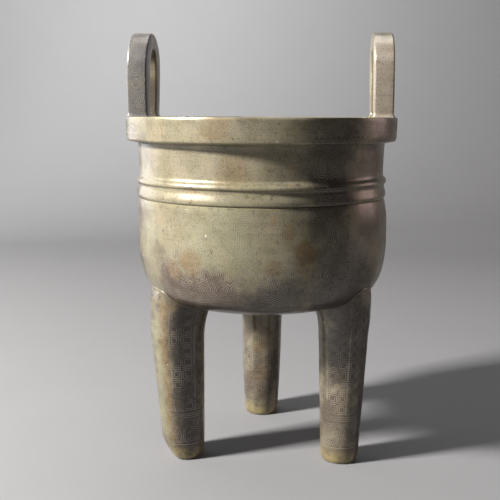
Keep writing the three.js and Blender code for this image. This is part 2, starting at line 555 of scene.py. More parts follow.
@dataclass(frozen=True)
class WireFinish:
    """Drawn wire that shows through the same patina."""

    patina: Patina
    name: str = "tarnished_silver_wire"
    bright: Triple = (0.28, 0.25, 0.205)
    shown: Pair = (0.10, 0.74)
    metallic: float = 0.4
    roughness: Pair = (0.28, 0.44)
    coat: float = 0.35
    coat_roughness: float = 0.22

    def build(self) -> Material:
        """Make the material.

        Returns:
            The finished wire.
        """
        n = Nodes(self.name)
        rubbed = n.ramp(n.noise(13.0, 4.0, seed=(6, 1, 8)), 0.36, 0.64, self.shown)
        n.link(n.mix(rubbed, self.patina.colour(n), self.bright), n.shader.inputs["Base Color"])
        n.link(n.ramp(n.noise(5.0, 3.0), 0.3, 0.7, self.roughness), n.shader.inputs["Roughness"])
        n.gloss(self.metallic, self.coat, self.coat_roughness)
        n.bump(n.noise(0.6, 2.0), strength=0.12, depth=0.1)
        return n.material


@dataclass(frozen=True)
class FloorFinish:
    """Plain pale studio paper."""

    colour: Triple = (0.165, 0.165, 0.168)
    shade: float = 0.94
    roughness: float = 0.85

    def build(self) -> Material:
        """Make the material.

        Returns:
            The finished paper.
        """
        n = Nodes("studio_paper")
        darker = tuple(c * self.shade for c in self.colour)
        n.link(n.mix(n.noise(60.0, 4.0), self.colour, darker), n.shader.inputs["Base Color"])
        n.shader.inputs["Roughness"].default_value = self.roughness
        return n.material


# ---------------------------------------------------------------- the bowl


@dataclass
class Bowl:
    """The hollow bowl with its rim, neck, double ring, belly and underside."""

    shift: float = 1.0
    shift_from: float = 157.0
    shift_to: float = 142.0
    columns: int = 240
    belly: tuple[Pair, ...] = (
        (0, 86.9), (16.8, 87.5), (33.5, 89.5), (50.3, 92.9), (57.0, 94.7), (62.0, 96.9), (65.6, 99.7),
        (68.4, 103.3), (70.4, 107.1), (71.9, 110.8), (73.5, 118.2), (74.3, 127.0), (74.35, 135.0),
        (74.15, 145.0), (73.85, 151.5), (73.35, 155.0),
    )
    groove: tuple[Pair, ...] = ((73.35, 155.0), (72.95, 155.25), (72.95, 155.5))
    lower_ring: tuple[Pair, ...] = (
        (73.6, 155.6), (73.95, 156.0), (74.15, 156.8), (74.1, 158.0), (73.75, 159.6),
    )
    channel: tuple[Pair, ...] = (
        (73.75, 159.6), (73.35, 161.2), (73.2, 162.6), (73.3, 163.4), (74.0, 164.0),
    )
    upper_ring: tuple[Pair, ...] = (
        (74.0, 164.0), (74.4, 164.5), (74.4, 165.4), (73.9, 166.5), (73.2, 167.3),
    )
    neck: tuple[Pair, ...] = (
        (73.2, 167.3), (72.6, 168.2), (72.45, 170.2), (72.5, 175.0), (72.7, 180.0), (72.9, 184.8),
        (73.2, 186.6),
    )
    under_rim: tuple[Pair, ...] = ((73.2, 186.6), (74.2, 187.2), (76.8, 187.6))
    rim_side: tuple[Pair, ...] = (
        (76.8, 187.6), (78.8, 188.0), (79.4, 188.5), (79.62, 189.5), (79.78, 193.0), (79.88, 197.0),
        (79.86, 200.7), (79.6, 201.4), (79.1, 201.66),
    )
    rim_top: tuple[Pair, ...] = ((79.1, 201.66), (75.0, 201.7), (70.0, 201.7), (65.3, 201.66))
    mouth: tuple[Pair, ...] = (
        (65.3, 201.66), (64.6, 201.3), (64.32, 200.5), (64.3, 196.0), (64.4, 192.6), (65.2, 189.6),
        (66.3, 186.4), (66.8, 182.0), (66.85, 172.0), (66.9, 162.0), (67.6, 156.0), (68.2, 150.0),
        (68.5, 140.0), (68.5, 126.0), (67.7, 119.0), (66.3, 113.0), (64.4, 108.6), (61.6, 104.7),
        (58.2, 102.0), (53.6, 100.0), (48.6, 98.5), (33.0, 95.4), (16.5, 93.3), (0, 92.7),
    )
    core_top: float = 150.0
    line: np.ndarray = field(init=False)
    outside: np.ndarray = field(init=False)
    run: np.ndarray = field(init=False)

    def __post_init__(self) -> None:
        """Sample the profile and measure along its outside."""
        parts = (
            (self.belly, 1.9), (self.groove, 0.4), (self.lower_ring, 0.45), (self.channel, 0.45),
            (self.upper_ring, 0.4), (self.neck, 1.6), (self.under_rim, 0.7), (self.rim_side, 0.8),
            (self.rim_top, 3.0), (self.mouth, 2.8),
        )
        points: list[Pair] = []
        count_outside = 0
        for part, spacing in parts:
            for point in rounded_line(list(part), spacing):
                if not points or math.dist(points[-1], point) > 1e-3:
                    points.append(point)
            if part is self.rim_side:
                count_outside = len(points)
        self.line = np.array(points)
        self.outside = self.line[:count_outside]
        self.run = run_along(self.outside)

    def run_at(self, z: float) -> float:
        """Length along the outside from the middle of the underside to a height."""
        return float(np.interp(z, self.outside[:, 1], self.run))

    def radius_at(self, z: float) -> float:
        """Outside radius at a height."""
        return float(np.interp(z, self.outside[:, 1], self.outside[:, 0]))

    def shift_at(self, z: float) -> float:
        """How far the bowl hangs off the rim's centre at a height."""
        return self.shift * smoothstep(self.shift_from - z, 0.0, self.shift_from - self.shift_to)

    def surface(self, angle: np.ndarray, run: np.ndarray) -> list[Place]:
        """Find places on the outside.

        Args:
            angle: Directions about the axis in radians, from +X.
            run: Lengths along the profile from the middle of the underside.

        Returns:
            Each place with the outward normal there.
        """
        (r, z), (r0, z0), (r1, z1) = (
            [np.interp(run + step, self.run, self.outside[:, k]) for k in (0, 1)] for step in (0, -0.3, 0.3)
        )
        dr, dz = r1 - r0, z1 - z0
        length = np.maximum(np.hypot(dr, dz), 1e-9)
        c, s = np.cos(angle), np.sin(angle)
        off = np.array([self.shift_at(float(height)) for height in z])
        places = np.stack((r * c + off, r * s, z), axis=1)
        normals = np.stack((dz / length * c, dz / length * s, -dr / length), axis=1)
        return list(zip(places, normals))

    def turned(self, name: str, line: np.ndarray) -> Solid:
        """Turn a profile that starts and ends on the axis into a solid.

        Args:
            name: Object name.
            line: Profile points, from the bottom outwards, up and back to the axis.

        Returns:
            The solid.
        """
        count = self.columns
        angles = [2 * math.pi * j / count for j in range(count)]
        vertices: list[Triple] = [(self.shift_at(line[0][1]), 0.0, line[0][1])]
        for r, z in line[1:-1]:
            off = self.shift_at(z)
            vertices.extend((r * math.cos(a) + off, r * math.sin(a), z) for a in angles)
        vertices.append((self.shift_at(line[-1][1]), 0.0, line[-1][1]))
        return make_object(name, vertices, column_faces(len(line) - 2, count))

    def build(self) -> Solid:
        """Turn the hollow bowl."""
        return self.turned("casting", self.line)

    def build_core(self, depth: float) -> Solid:
        """Turn a plain solid that lies under the outside.

        Args:
            depth: How far under the outside it lies.

        Returns:
            The solid.
        """
        inner = [(0.0, float(self.outside[0][1]) + depth)]
        for k in range(1, len(self.outside) - 1):
            z = float(self.outside[k][1])
            if z > self.core_top:
                break
            (r0, z0), (r1, z1) = self.outside[k - 1], self.outside[k + 1]
            length = math.hypot(r1 - r0, z1 - z0)
            r = self.outside[k][0] - depth * (z1 - z0) / length
            inner.append((r, z + depth * (r1 - r0) / length))
        inner.append((0.0, inner[-1][1]))
        return self.turned("core", np.array(inner))


# ---------------------------------------------------------------- the legs


@dataclass
class Leg:
    """A tapering leg that swells towards the bowl, with a worn sole."""

    angle: float
    foot_radius: float
    knee_radius: float
    top_radius: float
    girth: float
    worn: float = 0.0
    worn_height: float = 15.0
    worn_turn: float = -12.0
    columns: int = 96
    knee_z: float = 75.0
    top_z: float = 103.0
    seam_low: float = 87.0
    seam_high: float = 112.0
    seam_step: float = 1.5
    seam_halvings: int = 9
    lip_fade: Pair = (-0.55, 0.05)
    crown_drop: float = 1.6
    nominal_height: float = 95.0
    cutter_low: float = 70.0
    sections: tuple[tuple[float, float, float, float, float], ...] = (
        (0.0, 10.1, 9.7, 2.05, 0.0), (0.35, 10.7, 10.3, 2.05, 0.0), (1.2, 11.25, 10.8, 2.05, 0.0),
        (2.6, 11.62, 11.17, 2.05, 0.0), (5.0, 11.9, 11.45, 2.05, 0.0), (9.0, 12.1, 11.65, 2.06, 0.0),
        (25.0, 12.7, 12.45, 2.15, 0.0), (45.0, 13.45, 13.05, 2.25, 0.0), (65.0, 14.2, 13.6, 2.4, 0.0),
        (80.0, 14.9, 14.05, 2.52, 0.1), (87.0, 15.6, 14.35, 2.6, 0.6), (93.0, 16.55, 14.75, 2.68, 1.75),
        (98.5, 16.0, 14.75, 2.7, 1.45), (103.0, 14.9, 14.5, 2.75, 1.2), (113.0, 12.5, 12.9, 2.6, 0.6),
    )
    table: np.ndarray = field(init=False)
    table_step: float = 0.05

    def __post_init__(self) -> None:
        """Work out the section at fine steps up the leg."""
        rows = np.array(self.sections)
        heights = np.arange(0.0, rows[-1, 0] + 6.0, self.table_step)
        radial, tangential, square, inward = (
            curve_table(rows[:, 0], rows[:, k], heights) for k in range(1, 5)
        )
        stations = (0.0, self.knee_z, self.top_z)
        stance = np.interp(heights, stations, (self.foot_radius, self.knee_radius, self.top_radius))
        columns = (radial * self.girth, tangential * self.girth, square, stance - inward)
        self.table = np.stack(columns, axis=1)

    def size_at(self, z: float) -> tuple[float, float, float, float]:
        """Read the section at a height.

        Args:
            z: Height above the sole.

        Returns:
            Radial half-width, tangential half-width, squareness and the middle's distance
            from the axis.
        """
        k = min(max(z / self.table_step, 0.0), len(self.table) - 1.001)
        low = int(k)
        return tuple(self.table[low] * (low + 1 - k) + self.table[low + 1] * (k - low))

    def point(self, turn: float, z: float, grow: float = 0.0) -> np.ndarray:
        """Find a place on the leg.

        Args:
            turn: Direction about the leg's own middle in radians, 0 away from the bowl's axis.
            z: Height.
            grow: How far outside the surface.

        Returns:
            The place.
        """
        radial, tangential, square, middle = self.size_at(z)
        c, s = math.cos(turn), math.sin(turn)
        power = 2.0 / square
        facing = max(math.cos(turn - math.radians(self.worn_turn)), 0.0)
        grow -= self.worn * max(1.0 - z / self.worn_height, 0.0) ** 2 * facing**2
        along = middle + (radial + grow) * math.copysign(abs(c) ** power, c)
        across = (tangential + grow) * math.copysign(abs(s) ** power, s)
        ca, sa = math.cos(math.radians(self.angle)), math.sin(math.radians(self.angle))
        return np.array((along * ca - across * sa, along * sa + across * ca, z))

    def surface(self, turn: float, z: float) -> Place:
        """Find a place on the leg.

        Args:
            turn: Direction about the leg's middle.
            z: Height.

        Returns:
            The place and its outward normal.
        """
        here = self.point(turn, z)
        side = self.point(turn + 0.02, z) - self.point(turn - 0.02, z)
        up = self.point(turn, z + 0.4) - self.point(turn, max(z - 0.4, 0.0))
        normal = np.cross(side, up)
        return here, normal / np.linalg.norm(normal)

    def seam_z(self, turn: float, bowl: Bowl) -> float:
        """Find where a line up the leg enters the bowl.

        Args:
            turn: Direction about the leg's middle.
            bowl: The bowl it is joined to.

        Returns:
            The height of the seam.
        """
        def outside(z: float) -> bool:
            """Whether the line is still outside the bowl at a height."""
            x, y, _ = self.point(turn, z)
            return math.hypot(x - bowl.shift_at(z), y) >= bowl.radius_at(z)

        high = self.seam_low
        while high < self.seam_high and outside(high):
            high += self.seam_step
        low = high - self.seam_step
        for _ in range(self.seam_halvings):
            middle = (low + high) / 2
            if outside(middle):
                low = middle
            else:
                high = middle
        return high

    def column_mesh(self, name: str, rows: list[Triple], bowl: Bowl, low: float = 0.0) -> Solid:
        """Build the leg as a closed solid from its sole into the bowl's wall.

        Args:
            name: Object name.
            rows: For each ring, the share of the way to the seam, a height past it and the growth.
            bowl: The bowl it is joined to.
            low: Height of the bottom ring.

        Returns:
            The solid.
        """
        turns = [2 * math.pi * j / self.columns for j in range(self.columns)]
        seams = [self.seam_z(t, bowl) for t in turns]
        middle, a = self.size_at(low)[3], math.radians(self.angle)
        vertices = [np.array((middle * math.cos(a), middle * math.sin(a), low))]
        for share, past, grow in rows:
            for turn, seam in zip(turns, seams):
                edge = smoothstep(math.cos(turn), *self.lip_fade) if grow > 0 else 1.0
                vertices.append(self.point(turn, low + (seam - low) * share + past, grow * edge))
        crown = np.mean([vertices[-k - 1] for k in range(self.columns)], axis=0)
        crown[2] -= self.crown_drop
        vertices.append(crown)
        return make_object(name, vertices, column_faces(len(rows), self.columns))

    def build(self, bowl: Bowl) -> Solid:
        """Build the leg with a narrow lip where it meets the bowl.

        Args:
            bowl: The bowl it is joined to.

        Returns:
            The leg's solid.
        """
        foot = [0.0, 0.35, 0.8, 1.3, 2.0, 3.0, 4.2, 5.8, 7.6, 10.0]
        rows = [(z / self.nominal_height, 0.0, 0.0) for z in foot]
        rows += [(share, 0.0, 0.0) for share in np.linspace(0.14, 0.965, 34)]
        lip = [(-0.9, 0.10), (-0.45, 0.30), (-0.1, 0.36), (0.15, 0.24), (0.35, -0.5), (1.2, -3.0)]
        rows += [(0.982, 0.0, 0.02)] + [(1.0, past, grow) for past, grow in lip]
        return self.column_mesh("leg", rows, bowl)

    def build_cutter(self, bowl: Bowl, margin: float) -> Solid:
        """Build the solid that opens a fine groove round the seam.

        Args:
            bowl: The bowl it is joined to.
            margin: How much wider than the leg it is.

        Returns:
            The cutter, which reaches from the knee into the bowl.
        """
        rows = [(0.0, 0.0, 0.3)] + [(share, 0.0, margin) for share in (0.5, 0.9, 1.0)] + [(1.0, 3.0, margin)]
        return self.column_mesh("cutter", rows, bowl, low=self.cutter_low)


# ---------------------------------------------------------------- the handles


@dataclass
class Handle:
    """An upright loop handle: a bar bent into a horseshoe and stood on the rim."""

    side: int
    inner_x: float = 64.25
    outer_x: float = 75.75
    foot_z: float = 197.0
    rim_z: float = 201.7
    spring_z: float = 230.2
    top_z: float = 250.05
    half_width: float = 21.8
    foot_half_width: float = 18.6
    loop_half_width: float = 9.35
    loop_spring_z: float = 227.5
    loop_top_z: float = 240.7
    lean: float = 0.7
    arris: float = 1.2
    flare: float = 1.1
    side_steps: int = 26
    arch_steps: int = 52
    outer_line: np.ndarray = field(init=False)
    loop_line: np.ndarray = field(init=False)

    def __post_init__(self) -> None:
        """Trace the outside and the loop as matching lines from foot to foot."""
        outer: list[Pair] = []
        loop: list[Pair] = []
        for i in range(self.side_steps):
            t = i / self.side_steps
            outer.append(self._side(t))
            loop.append((self.loop_half_width, self.foot_z + (self.loop_spring_z - self.foot_z) * t))
        for i in range(self.arch_steps + 1):
            a = math.pi * i / self.arch_steps
            rise, loop_rise = self.top_z - self.spring_z, self.loop_top_z - self.loop_spring_z
            outer.append((self.half_width * math.cos(a), self.spring_z + rise * math.sin(a)))
            loop.append((self.loop_half_width * math.cos(a), self.loop_spring_z + loop_rise * math.sin(a)))
        for i in reversed(range(self.side_steps)):
            y, z = outer[i]
            outer.append((-y, z))
            loop.append((-loop[i][0], loop[i][1]))
        self.outer_line = np.array(outer)
        self.loop_line = np.array(loop)

    def _side(self, t: float) -> Pair:
        """Follow the side of the handle from its foot to where the arch springs.

        Args:
            t: Share of the way up.

        Returns:
            The place, as y and z.
        """
        p0 = (self.foot_half_width, self.foot_z)
        p1 = (self.foot_half_width + 1.6, self.foot_z + 9.0)
        p2 = (self.half_width, self.spring_z - 12.0)
        p3 = (self.half_width, self.spring_z)
        u = 1.0 - t
        return tuple(
            u**3 * a + 3 * u * u * t * b + 3 * u * t * t * c + t**3 * d for a, b, c, d in zip(p0, p1, p2, p3)
        )

    def lean_at(self, z: float) -> float:
        """How far out the handle stands at a height, because it leans in."""
        return self.lean * max((self.loop_top_z - z) / (self.loop_top_z - self.rim_z), 0.0)

    def place(self, x: float, y: float, z: float) -> np.ndarray:
        """Stand a point of the handle on its own side of the rim."""
        out = x + self.lean_at(z)
        return np.array((out * self.side, y * self.side, z))

    def ring(self, k: int) -> list[np.ndarray]:
        """Make the bar's section at one step of its bend.

        Args:
            k: Index along the matching lines.

        Returns:
            The section's points, in order round the bar.
        """
        (yo, zo), (yl, zl) = self.outer_line[k], self.loop_line[k]
        reach = math.hypot(yo - yl, zo - zl)
        dy, dz = (yo - yl) / reach, (zo - zl) / reach
        mid_y, mid_z = (yo + yl) / 2, (zo + zl) / 2
        mid_x = (self.inner_x + self.outer_x) / 2
        flare = self.flare * (1.0 - smoothstep(min(zo, zl), self.rim_z - 0.3, self.rim_z + 2.2)) ** 2
        half_r = reach / 2 + flare
        half_x = (self.outer_x - self.inner_x) / 2 + flare * 0.8
        ring: list[np.ndarray] = []
        for quarter, (sx, sr) in enumerate(((1, 1), (-1, 1), (-1, -1), (1, -1))):
            for i in range(5):
                a = math.radians(90.0 * quarter + 90.0 * i / 4)
                x = mid_x + sx * (half_x - self.arris) + self.arris * math.cos(a)
                r = sr * (half_r - self.arris) + self.arris * math.sin(a)
                ring.append(self.place(x, mid_y + r * dy, mid_z + r * dz))
            nx, nr = ((-1, 1), (-1, -1), (1, -1), (1, 1))[quarter]
            along_x = nx != sx
            for share in (0.33, 0.67):
                x0, r0 = sx * (half_x - self.arris), sr * (half_r - self.arris)
                if along_x:
                    x = mid_x + x0 + (nx * (half_x - self.arris) - x0) * share
                    r = sr * half_r
                else:
                    x = mid_x + sx * half_x
                    r = r0 + (nr * (half_r - self.arris) - r0) * share
                ring.append(self.place(x, mid_y + r * dy, mid_z + r * dz))
        return ring

    def build(self) -> Solid:
        """Build the handle as a closed solid whose feet are sunk in the rim.

        Returns:
            The solid.
        """
        rings = [self.ring(k) for k in range(len(self.outer_line))]
        count = len(rings[0])
        vertices = [p for ring in rings for p in ring]
        faces: list[tuple[int, ...]] = []
        for i in range(len(rings) - 1):
            for j in range(count):
                k = (j + 1) % count
                a, b = i * count + j, i * count + k
                faces.append((a, b, b + count, a + count))
        last = (len(rings) - 1) * count
        faces.append(tuple(reversed(range(count))))
        faces.append(tuple(last + j for j in range(count)))
        obj = make_object("handle", vertices, faces)
        mesh = bmesh.new()
        mesh.from_mesh(obj.data)
        bmesh.ops.recalc_face_normals(mesh, faces=mesh.faces)
        mesh.to_mesh(obj.data)
        mesh.free()
        return obj


# ---------------------------------------------------------------- ornament lines


def spiral(centre: Pair, radius: float, gap: float, hand: int, leave: float) -> np.ndarray:
    """Wind a line from the middle of a spiral out to its rim.

    Args:
        centre: Middle of the spiral.
        radius: Its outer radius.
        gap: Distance from one turn to the next.
        hand: 1 to wind out anticlockwise, -1 clockwise.
        leave: Angle in radians at which it reaches its outer radius.

    Returns:
        Points from the middle outwards.
    """
    turns = max((radius - 0.25 * gap) / gap, 0.3)
    count = max(int(turns * 22), 8)
    t = np.linspace(0.0, 1.0, count)
    r = 0.25 * gap + (radius - 0.25 * gap) * t
    a = leave - hand * 2 * math.pi * turns * (1 - t)
    return np.stack((centre[0] + r * np.cos(a), centre[1] + r * np.sin(a)), axis=1)


def linked_spirals(
    c0: Pair, r0: float, c1: Pair, r1: float, gap: float, side: int, crossing: bool = True
) -> np.ndarray:
    """Join two spirals by the straight run that touches both.

    Args:
        c0: Middle of the first spiral.
        r0: Its radius.
        c1: Middle of the second spiral.
        r1: Its radius.
        gap: Distance between turns.
        side: 1 to leave the first spiral on the left of the way to the second, -1 on its right.
        crossing: True for an S, where the run crosses from one side to the other.

    Returns:
        The whole line, from one middle to the other.
    """
    apart = math.dist(c0, c1)
    way = math.atan2(c1[1] - c0[1], c1[0] - c0[0])
    lean = math.acos(max(min(((r0 + r1) if crossing else (r0 - r1)) / apart, 1.0), -1.0))
    leave = way + side * lean
    arrive = leave + math.pi if crossing else leave
    first = spiral(c0, r0, gap, -side, leave)
    second = spiral(c1, r1, gap, side if not crossing else -side, arrive)
    return np.concatenate((first, second[::-1]))


def key_spiral(corner: Pair, size: Pair, gap: float, flip: Pair = (1, 1)) -> np.ndarray:
    """Draw a squared spiral from its outer corner to its middle.

    Args:
        corner: Middle of the square it fills.
        size: Width and height of that square.
        gap: Distance from one turn to the next.
        flip: 1 or -1 for each axis, to mirror it.

    Returns:
        The corners of the line.
    """
    half_w, half_h = size[0] / 2, size[1] / 2
    points = [(-half_w, -half_h)]
    inset = 0.0
    while half_w - inset > gap * 0.4 and half_h - inset > gap * 0.4:
        points.append((half_w - inset, -half_h + inset))
        points.append((half_w - inset, half_h - inset))
        points.append((-half_w + inset, half_h - inset))
        points.append((-half_w + inset, -half_h + inset + gap))
        inset += gap
    line = np.array(points) * np.array(flip)
    return line + np.array(corner)


@dataclass
class FlowField:
    """Fills an area with evenly spaced lines that run round a set of guide lines."""

    width: float
    height: float
    pitch: float
    wraps: bool = False
    cell: float = 0.36
    reach: float = 9.0
    gap_map: np.ndarray = field(init=False)

    def __post_init__(self) -> None:
        """Lay out the grid."""
        self.nx = int(round(self.width / self.cell)) + (0 if self.wraps else 1)
        self.ny = int(round(self.height / self.cell)) + 1
        self.dx = self.width / (self.nx if self.wraps else self.nx - 1)
        self.dy = self.height / (self.ny - 1)
        self.gap_map = np.full((self.ny, self.nx), 1e3)

    def guide(self, line: np.ndarray) -> None:
        """Measure the grid's distance to one more guide line.

        Args:
            line: The guide's points.
        """
        for (x0, y0), (x1, y1) in zip(line[:-1], line[1:]):
            if abs(x1 - x0) + abs(y1 - y0) < 1e-9:
                continue
            i0 = int(math.floor((min(x0, x1) - self.reach) / self.dx))
            i1 = int(math.ceil((max(x0, x1) + self.reach) / self.dx))
            j0 = max(int(math.floor((min(y0, y1) - self.reach) / self.dy)), 0)
            j1 = min(int(math.ceil((max(y0, y1) + self.reach) / self.dy)), self.ny - 1)
            if not self.wraps:
                i0, i1 = max(i0, 0), min(i1, self.nx - 1)
            if i1 < i0 or j1 < j0:
                continue
            columns = np.arange(i0, i1 + 1)
            gx = columns * self.dx - x0
            gy = np.arange(j0, j1 + 1)[:, None] * self.dy - y0
            ux, uy = x1 - x0, y1 - y0
            t = np.clip((gx * ux + gy * uy) / (ux * ux + uy * uy), 0.0, 1.0)
            gap = np.hypot(gx - t * ux, gy - t * uy)
            index = columns % self.nx if self.wraps else columns
            rows = slice(j0, j1 + 1)
            self.gap_map[rows, index] = np.minimum(self.gap_map[rows, index], gap)

    def fill(self, guides: list[np.ndarray], longest: float, bend: float, fewest: int = 3) -> list[Polyline]:
        """Run wires' lines round a set of guides.

        Args:
            guides: The guide lines.
            longest: Longest straight run in a line.
            bend: Most turning in radians between two points of a line.
            fewest: Fewest points that a line has.

        Returns:
            The lines, smoothed and thinned.
        """
        for line in guides:
            self.guide(line)
        lines = [thinned(eased(line), longest, bend) for line in self.lines()]
        return [line for line in lines if len(line) >= fewest]

    def lines(self) -> list[Polyline]:
        """Trace every line of the fill.

        Returns:
            The lines at half a pitch from the guides and at each whole pitch further out.
        """
        found: list[Polyline] = []
        top = float(self.gap_map[self.gap_map < 900].max())
        level = self.pitch / 2
        while level < top:
            found.extend(self._trace(level))
            level += self.pitch
        return found

    def _trace(self, level: float) -> list[Polyline]:
        """Trace the lines at one distance from the guides.

        Args:
            level: The distance.

        Returns:
            The lines found.
        """
        values = self.gap_map - level
        if self.wraps:
            values = np.concatenate((values, values[:, :1]), axis=1)
        ny, nx = values.shape
        up = values > 0
        flat_cross = up[:, :-1] != up[:, 1:]
        tall_cross = up[:-1, :] != up[1:, :]
        links: dict[int, list[int]] = {}
        offset = ny * nx
        span = nx - 1

        def flat(j: int, i: int) -> int:
            """Number the grid edge that runs across from a corner."""
            return j * nx + (i % span if self.wraps else i)

        def tall(j: int, i: int) -> int:
            """Number the grid edge that runs up from a corner."""
            return offset + j * nx + (i % span if self.wraps else i)

        busy = flat_cross[:-1] | flat_cross[1:] | tall_cross[:, :-1] | tall_cross[:, 1:]
        for j, i in np.argwhere(busy):
            ends = []
            if flat_cross[j, i]:
                ends.append(flat(j, i))
            if tall_cross[j, i + 1]:
                ends.append(tall(j, i + 1))
            if flat_cross[j + 1, i]:
                ends.append(flat(j + 1, i))
            if tall_cross[j, i]:
                ends.append(tall(j, i))
            for a, b in zip(ends[::2], ends[1::2]):
                links.setdefault(a, []).append(b)
                links.setdefault(b, []).append(a)

        def spot(edge: int) -> Pair:
            """Find where the line crosses a grid edge.

            Args:
                edge: The edge's number.

            Returns:
                The crossing.
            """
            if edge < offset:
                j, i = divmod(edge, nx)
                t = values[j, i] / (values[j, i] - values[j, i + 1])
                return (i + t) * self.dx, j * self.dy
            j, i = divmod(edge - offset, nx)
            t = values[j, i] / (values[j, i] - values[j + 1, i])
            return i * self.dx, (j + t) * self.dy

        found: list[Polyline] = []
        seen: set[int] = set()
        starts = [e for e, near in links.items() if len(near) == 1] + list(links)
        for start in starts:
            if start in seen:
                continue
            chain = [start]
            seen.add(start)
            while True:
                onward = [e for e in links[chain[-1]] if e not in seen]
                if not onward:
                    break
                chain.append(onward[0])
                seen.add(onward[0])
            if len(chain) < 5:
                continue
            points = np.array([spot(e) for e in chain])
            if len(links[start]) == 2 and chain[-1] in links[start]:
                points = np.concatenate((points, points[:1]))
            if self.wraps:
                jump = np.round(np.diff(points[:, 0]) / self.width)
                points[1:, 0] -= np.cumsum(jump) * self.width
            found.append(points)
        return found


def eased(line: Polyline, passes: int = 2) -> Polyline:
    """Smooth the small steps out of a traced line, ends kept.

    Args:
        line: The line's points.
        passes: How often it is smoothed.

    Returns:
        The smoothed points.
    """
    for _ in range(passes):
        if len(line) > 4:
            inner = (line[:-2] + 2 * line[1:-1] + line[2:]) / 4
            line = np.concatenate((line[:1], inner, line[-1:]))
    return line


def thinned(line: Polyline, longest: float, bend: float) -> Polyline:
    """Drop points that a straight run doesn't need.

    Args:
        line: The line's points.
        longest: Longest straight run.
        bend: Most turning in radians left between kept points.

    Returns:
        The kept points.
    """
    kept = [0]
    turned = 0.0
    for k in range(1, len(line) - 1):
        a = line[k] - line[k - 1]
        b = line[k + 1] - line[k]
        turned += abs(math.atan2(a[0] * b[1] - a[1] * b[0], a[0] * b[0] + a[1] * b[1]))
        if turned > bend or math.dist(line[k + 1], line[kept[-1]]) > longest:
            kept.append(k)
            turned = 0.0
    kept.append(len(line) - 1)
    return line[kept]


def divided(line: Polyline, longest: float) -> Polyline:
    """Add points along long straight runs so that they can follow a curved surface.

    Args:
        line: The line's points.
        longest: Longest step that is left.

    Returns:
        The points, old and new.
    """
    out = [line[0]]
    for a, b in zip(line[:-1], line[1:]):
        steps = max(1, math.ceil(math.dist(a, b) / longest))
        for k in range(1, steps + 1):
            out.append(a + (b - a) * k / steps)
    return np.array(out)


# ---------------------------------------------------------------- inlaid wire


@dataclass
class Wire:
    """The drawn wire: its face, how deep it is set and how proud it stands."""

    width: float = 0.38
    depth: float = 0.22
    proud: float = 0.03

    def tree(self) -> bpy.types.NodeTree:
        """Build the node tree that sweeps the wire along every line of a mesh.

        Returns:
            The tree, with Width, Depth and Finish as inputs.
        """
        tree = bpy.data.node_groups.new("set_wire", "GeometryNodeTree")
        sockets = (
            ("Lines", "INPUT", "Geometry"), ("Width", "INPUT", "Float"), ("Depth", "INPUT", "Float"),
            ("Finish", "INPUT", "Material"), ("Wire", "OUTPUT", "Geometry"),
        )
        for name, way, kind in sockets:
            tree.interface.new_socket(name, in_out=way, socket_type="NodeSocket" + kind)

        def node(kind: str, **settings: object) -> bpy.types.Node:
            """Add a node.

            Args:
                kind: Blender's name for the node type.
                **settings: Properties to set on it.

            Returns:
                The node.
            """
            made = tree.nodes.new(kind)
            for name, value in settings.items():
                setattr(made, name, value)
            return made

        def link(a: Socket, b: Socket) -> None:
            """Join an output to an input."""
            tree.links.new(a, b)

        start, end = node("NodeGroupInput"), node("NodeGroupOutput")
        curve = node("GeometryNodeMeshToCurve")
        link(start.outputs["Lines"], curve.inputs["Mesh"])
        outward = node("GeometryNodeInputNamedAttribute", data_type="FLOAT_VECTOR")
        outward.inputs["Name"].default_value = "outward"
        aimed = node("GeometryNodeSetCurveNormal", mode="FREE")
        link(curve.outputs["Curve"], aimed.inputs["Curve"])
        link(outward.outputs["Attribute"], aimed.inputs["Normal"])
        section = node("GeometryNodeCurvePrimitiveCircle", mode="RADIUS")
        section.inputs["Resolution"].default_value = 3
        section.inputs["Radius"].default_value = 1.0
        sized = node("ShaderNodeCombineXYZ")
        for socket, scale, axis in (("Depth", -1.0 / 1.5, "X"), ("Width", 1.0 / math.sqrt(3.0), "Y")):
            scaled = node("ShaderNodeMath", operation="MULTIPLY")
            link(start.outputs[socket], scaled.inputs[0])
            scaled.inputs[1].default_value = scale
            link(scaled.outputs[0], sized.inputs[axis])
        sized.inputs["Z"].default_value = 1.0
        shaped = node("GeometryNodeTransform")
        link(section.outputs["Curve"], shaped.inputs["Geometry"])
        link(sized.outputs["Vector"], shaped.inputs["Scale"])
        swept = node("GeometryNodeCurveToMesh")
        link(aimed.outputs["Curve"], swept.inputs["Curve"])
        link(shaped.outputs["Geometry"], swept.inputs["Profile Curve"])
        swept.inputs["Fill Caps"].default_value = True
        flat = node("GeometryNodeSetShadeSmooth")
        flat.inputs["Shade Smooth"].default_value = False
        link(swept.outputs["Mesh"], flat.inputs["Geometry"])
        real = node("GeometryNodeRealizeInstances")
        link(flat.outputs["Geometry"], real.inputs["Geometry"])
        dressed = node("GeometryNodeSetMaterial")
        link(real.outputs["Geometry"], dressed.inputs["Geometry"])
        link(start.outputs["Finish"], dressed.inputs["Material"])
        link(dressed.outputs["Geometry"], end.inputs["Wire"])
        return tree


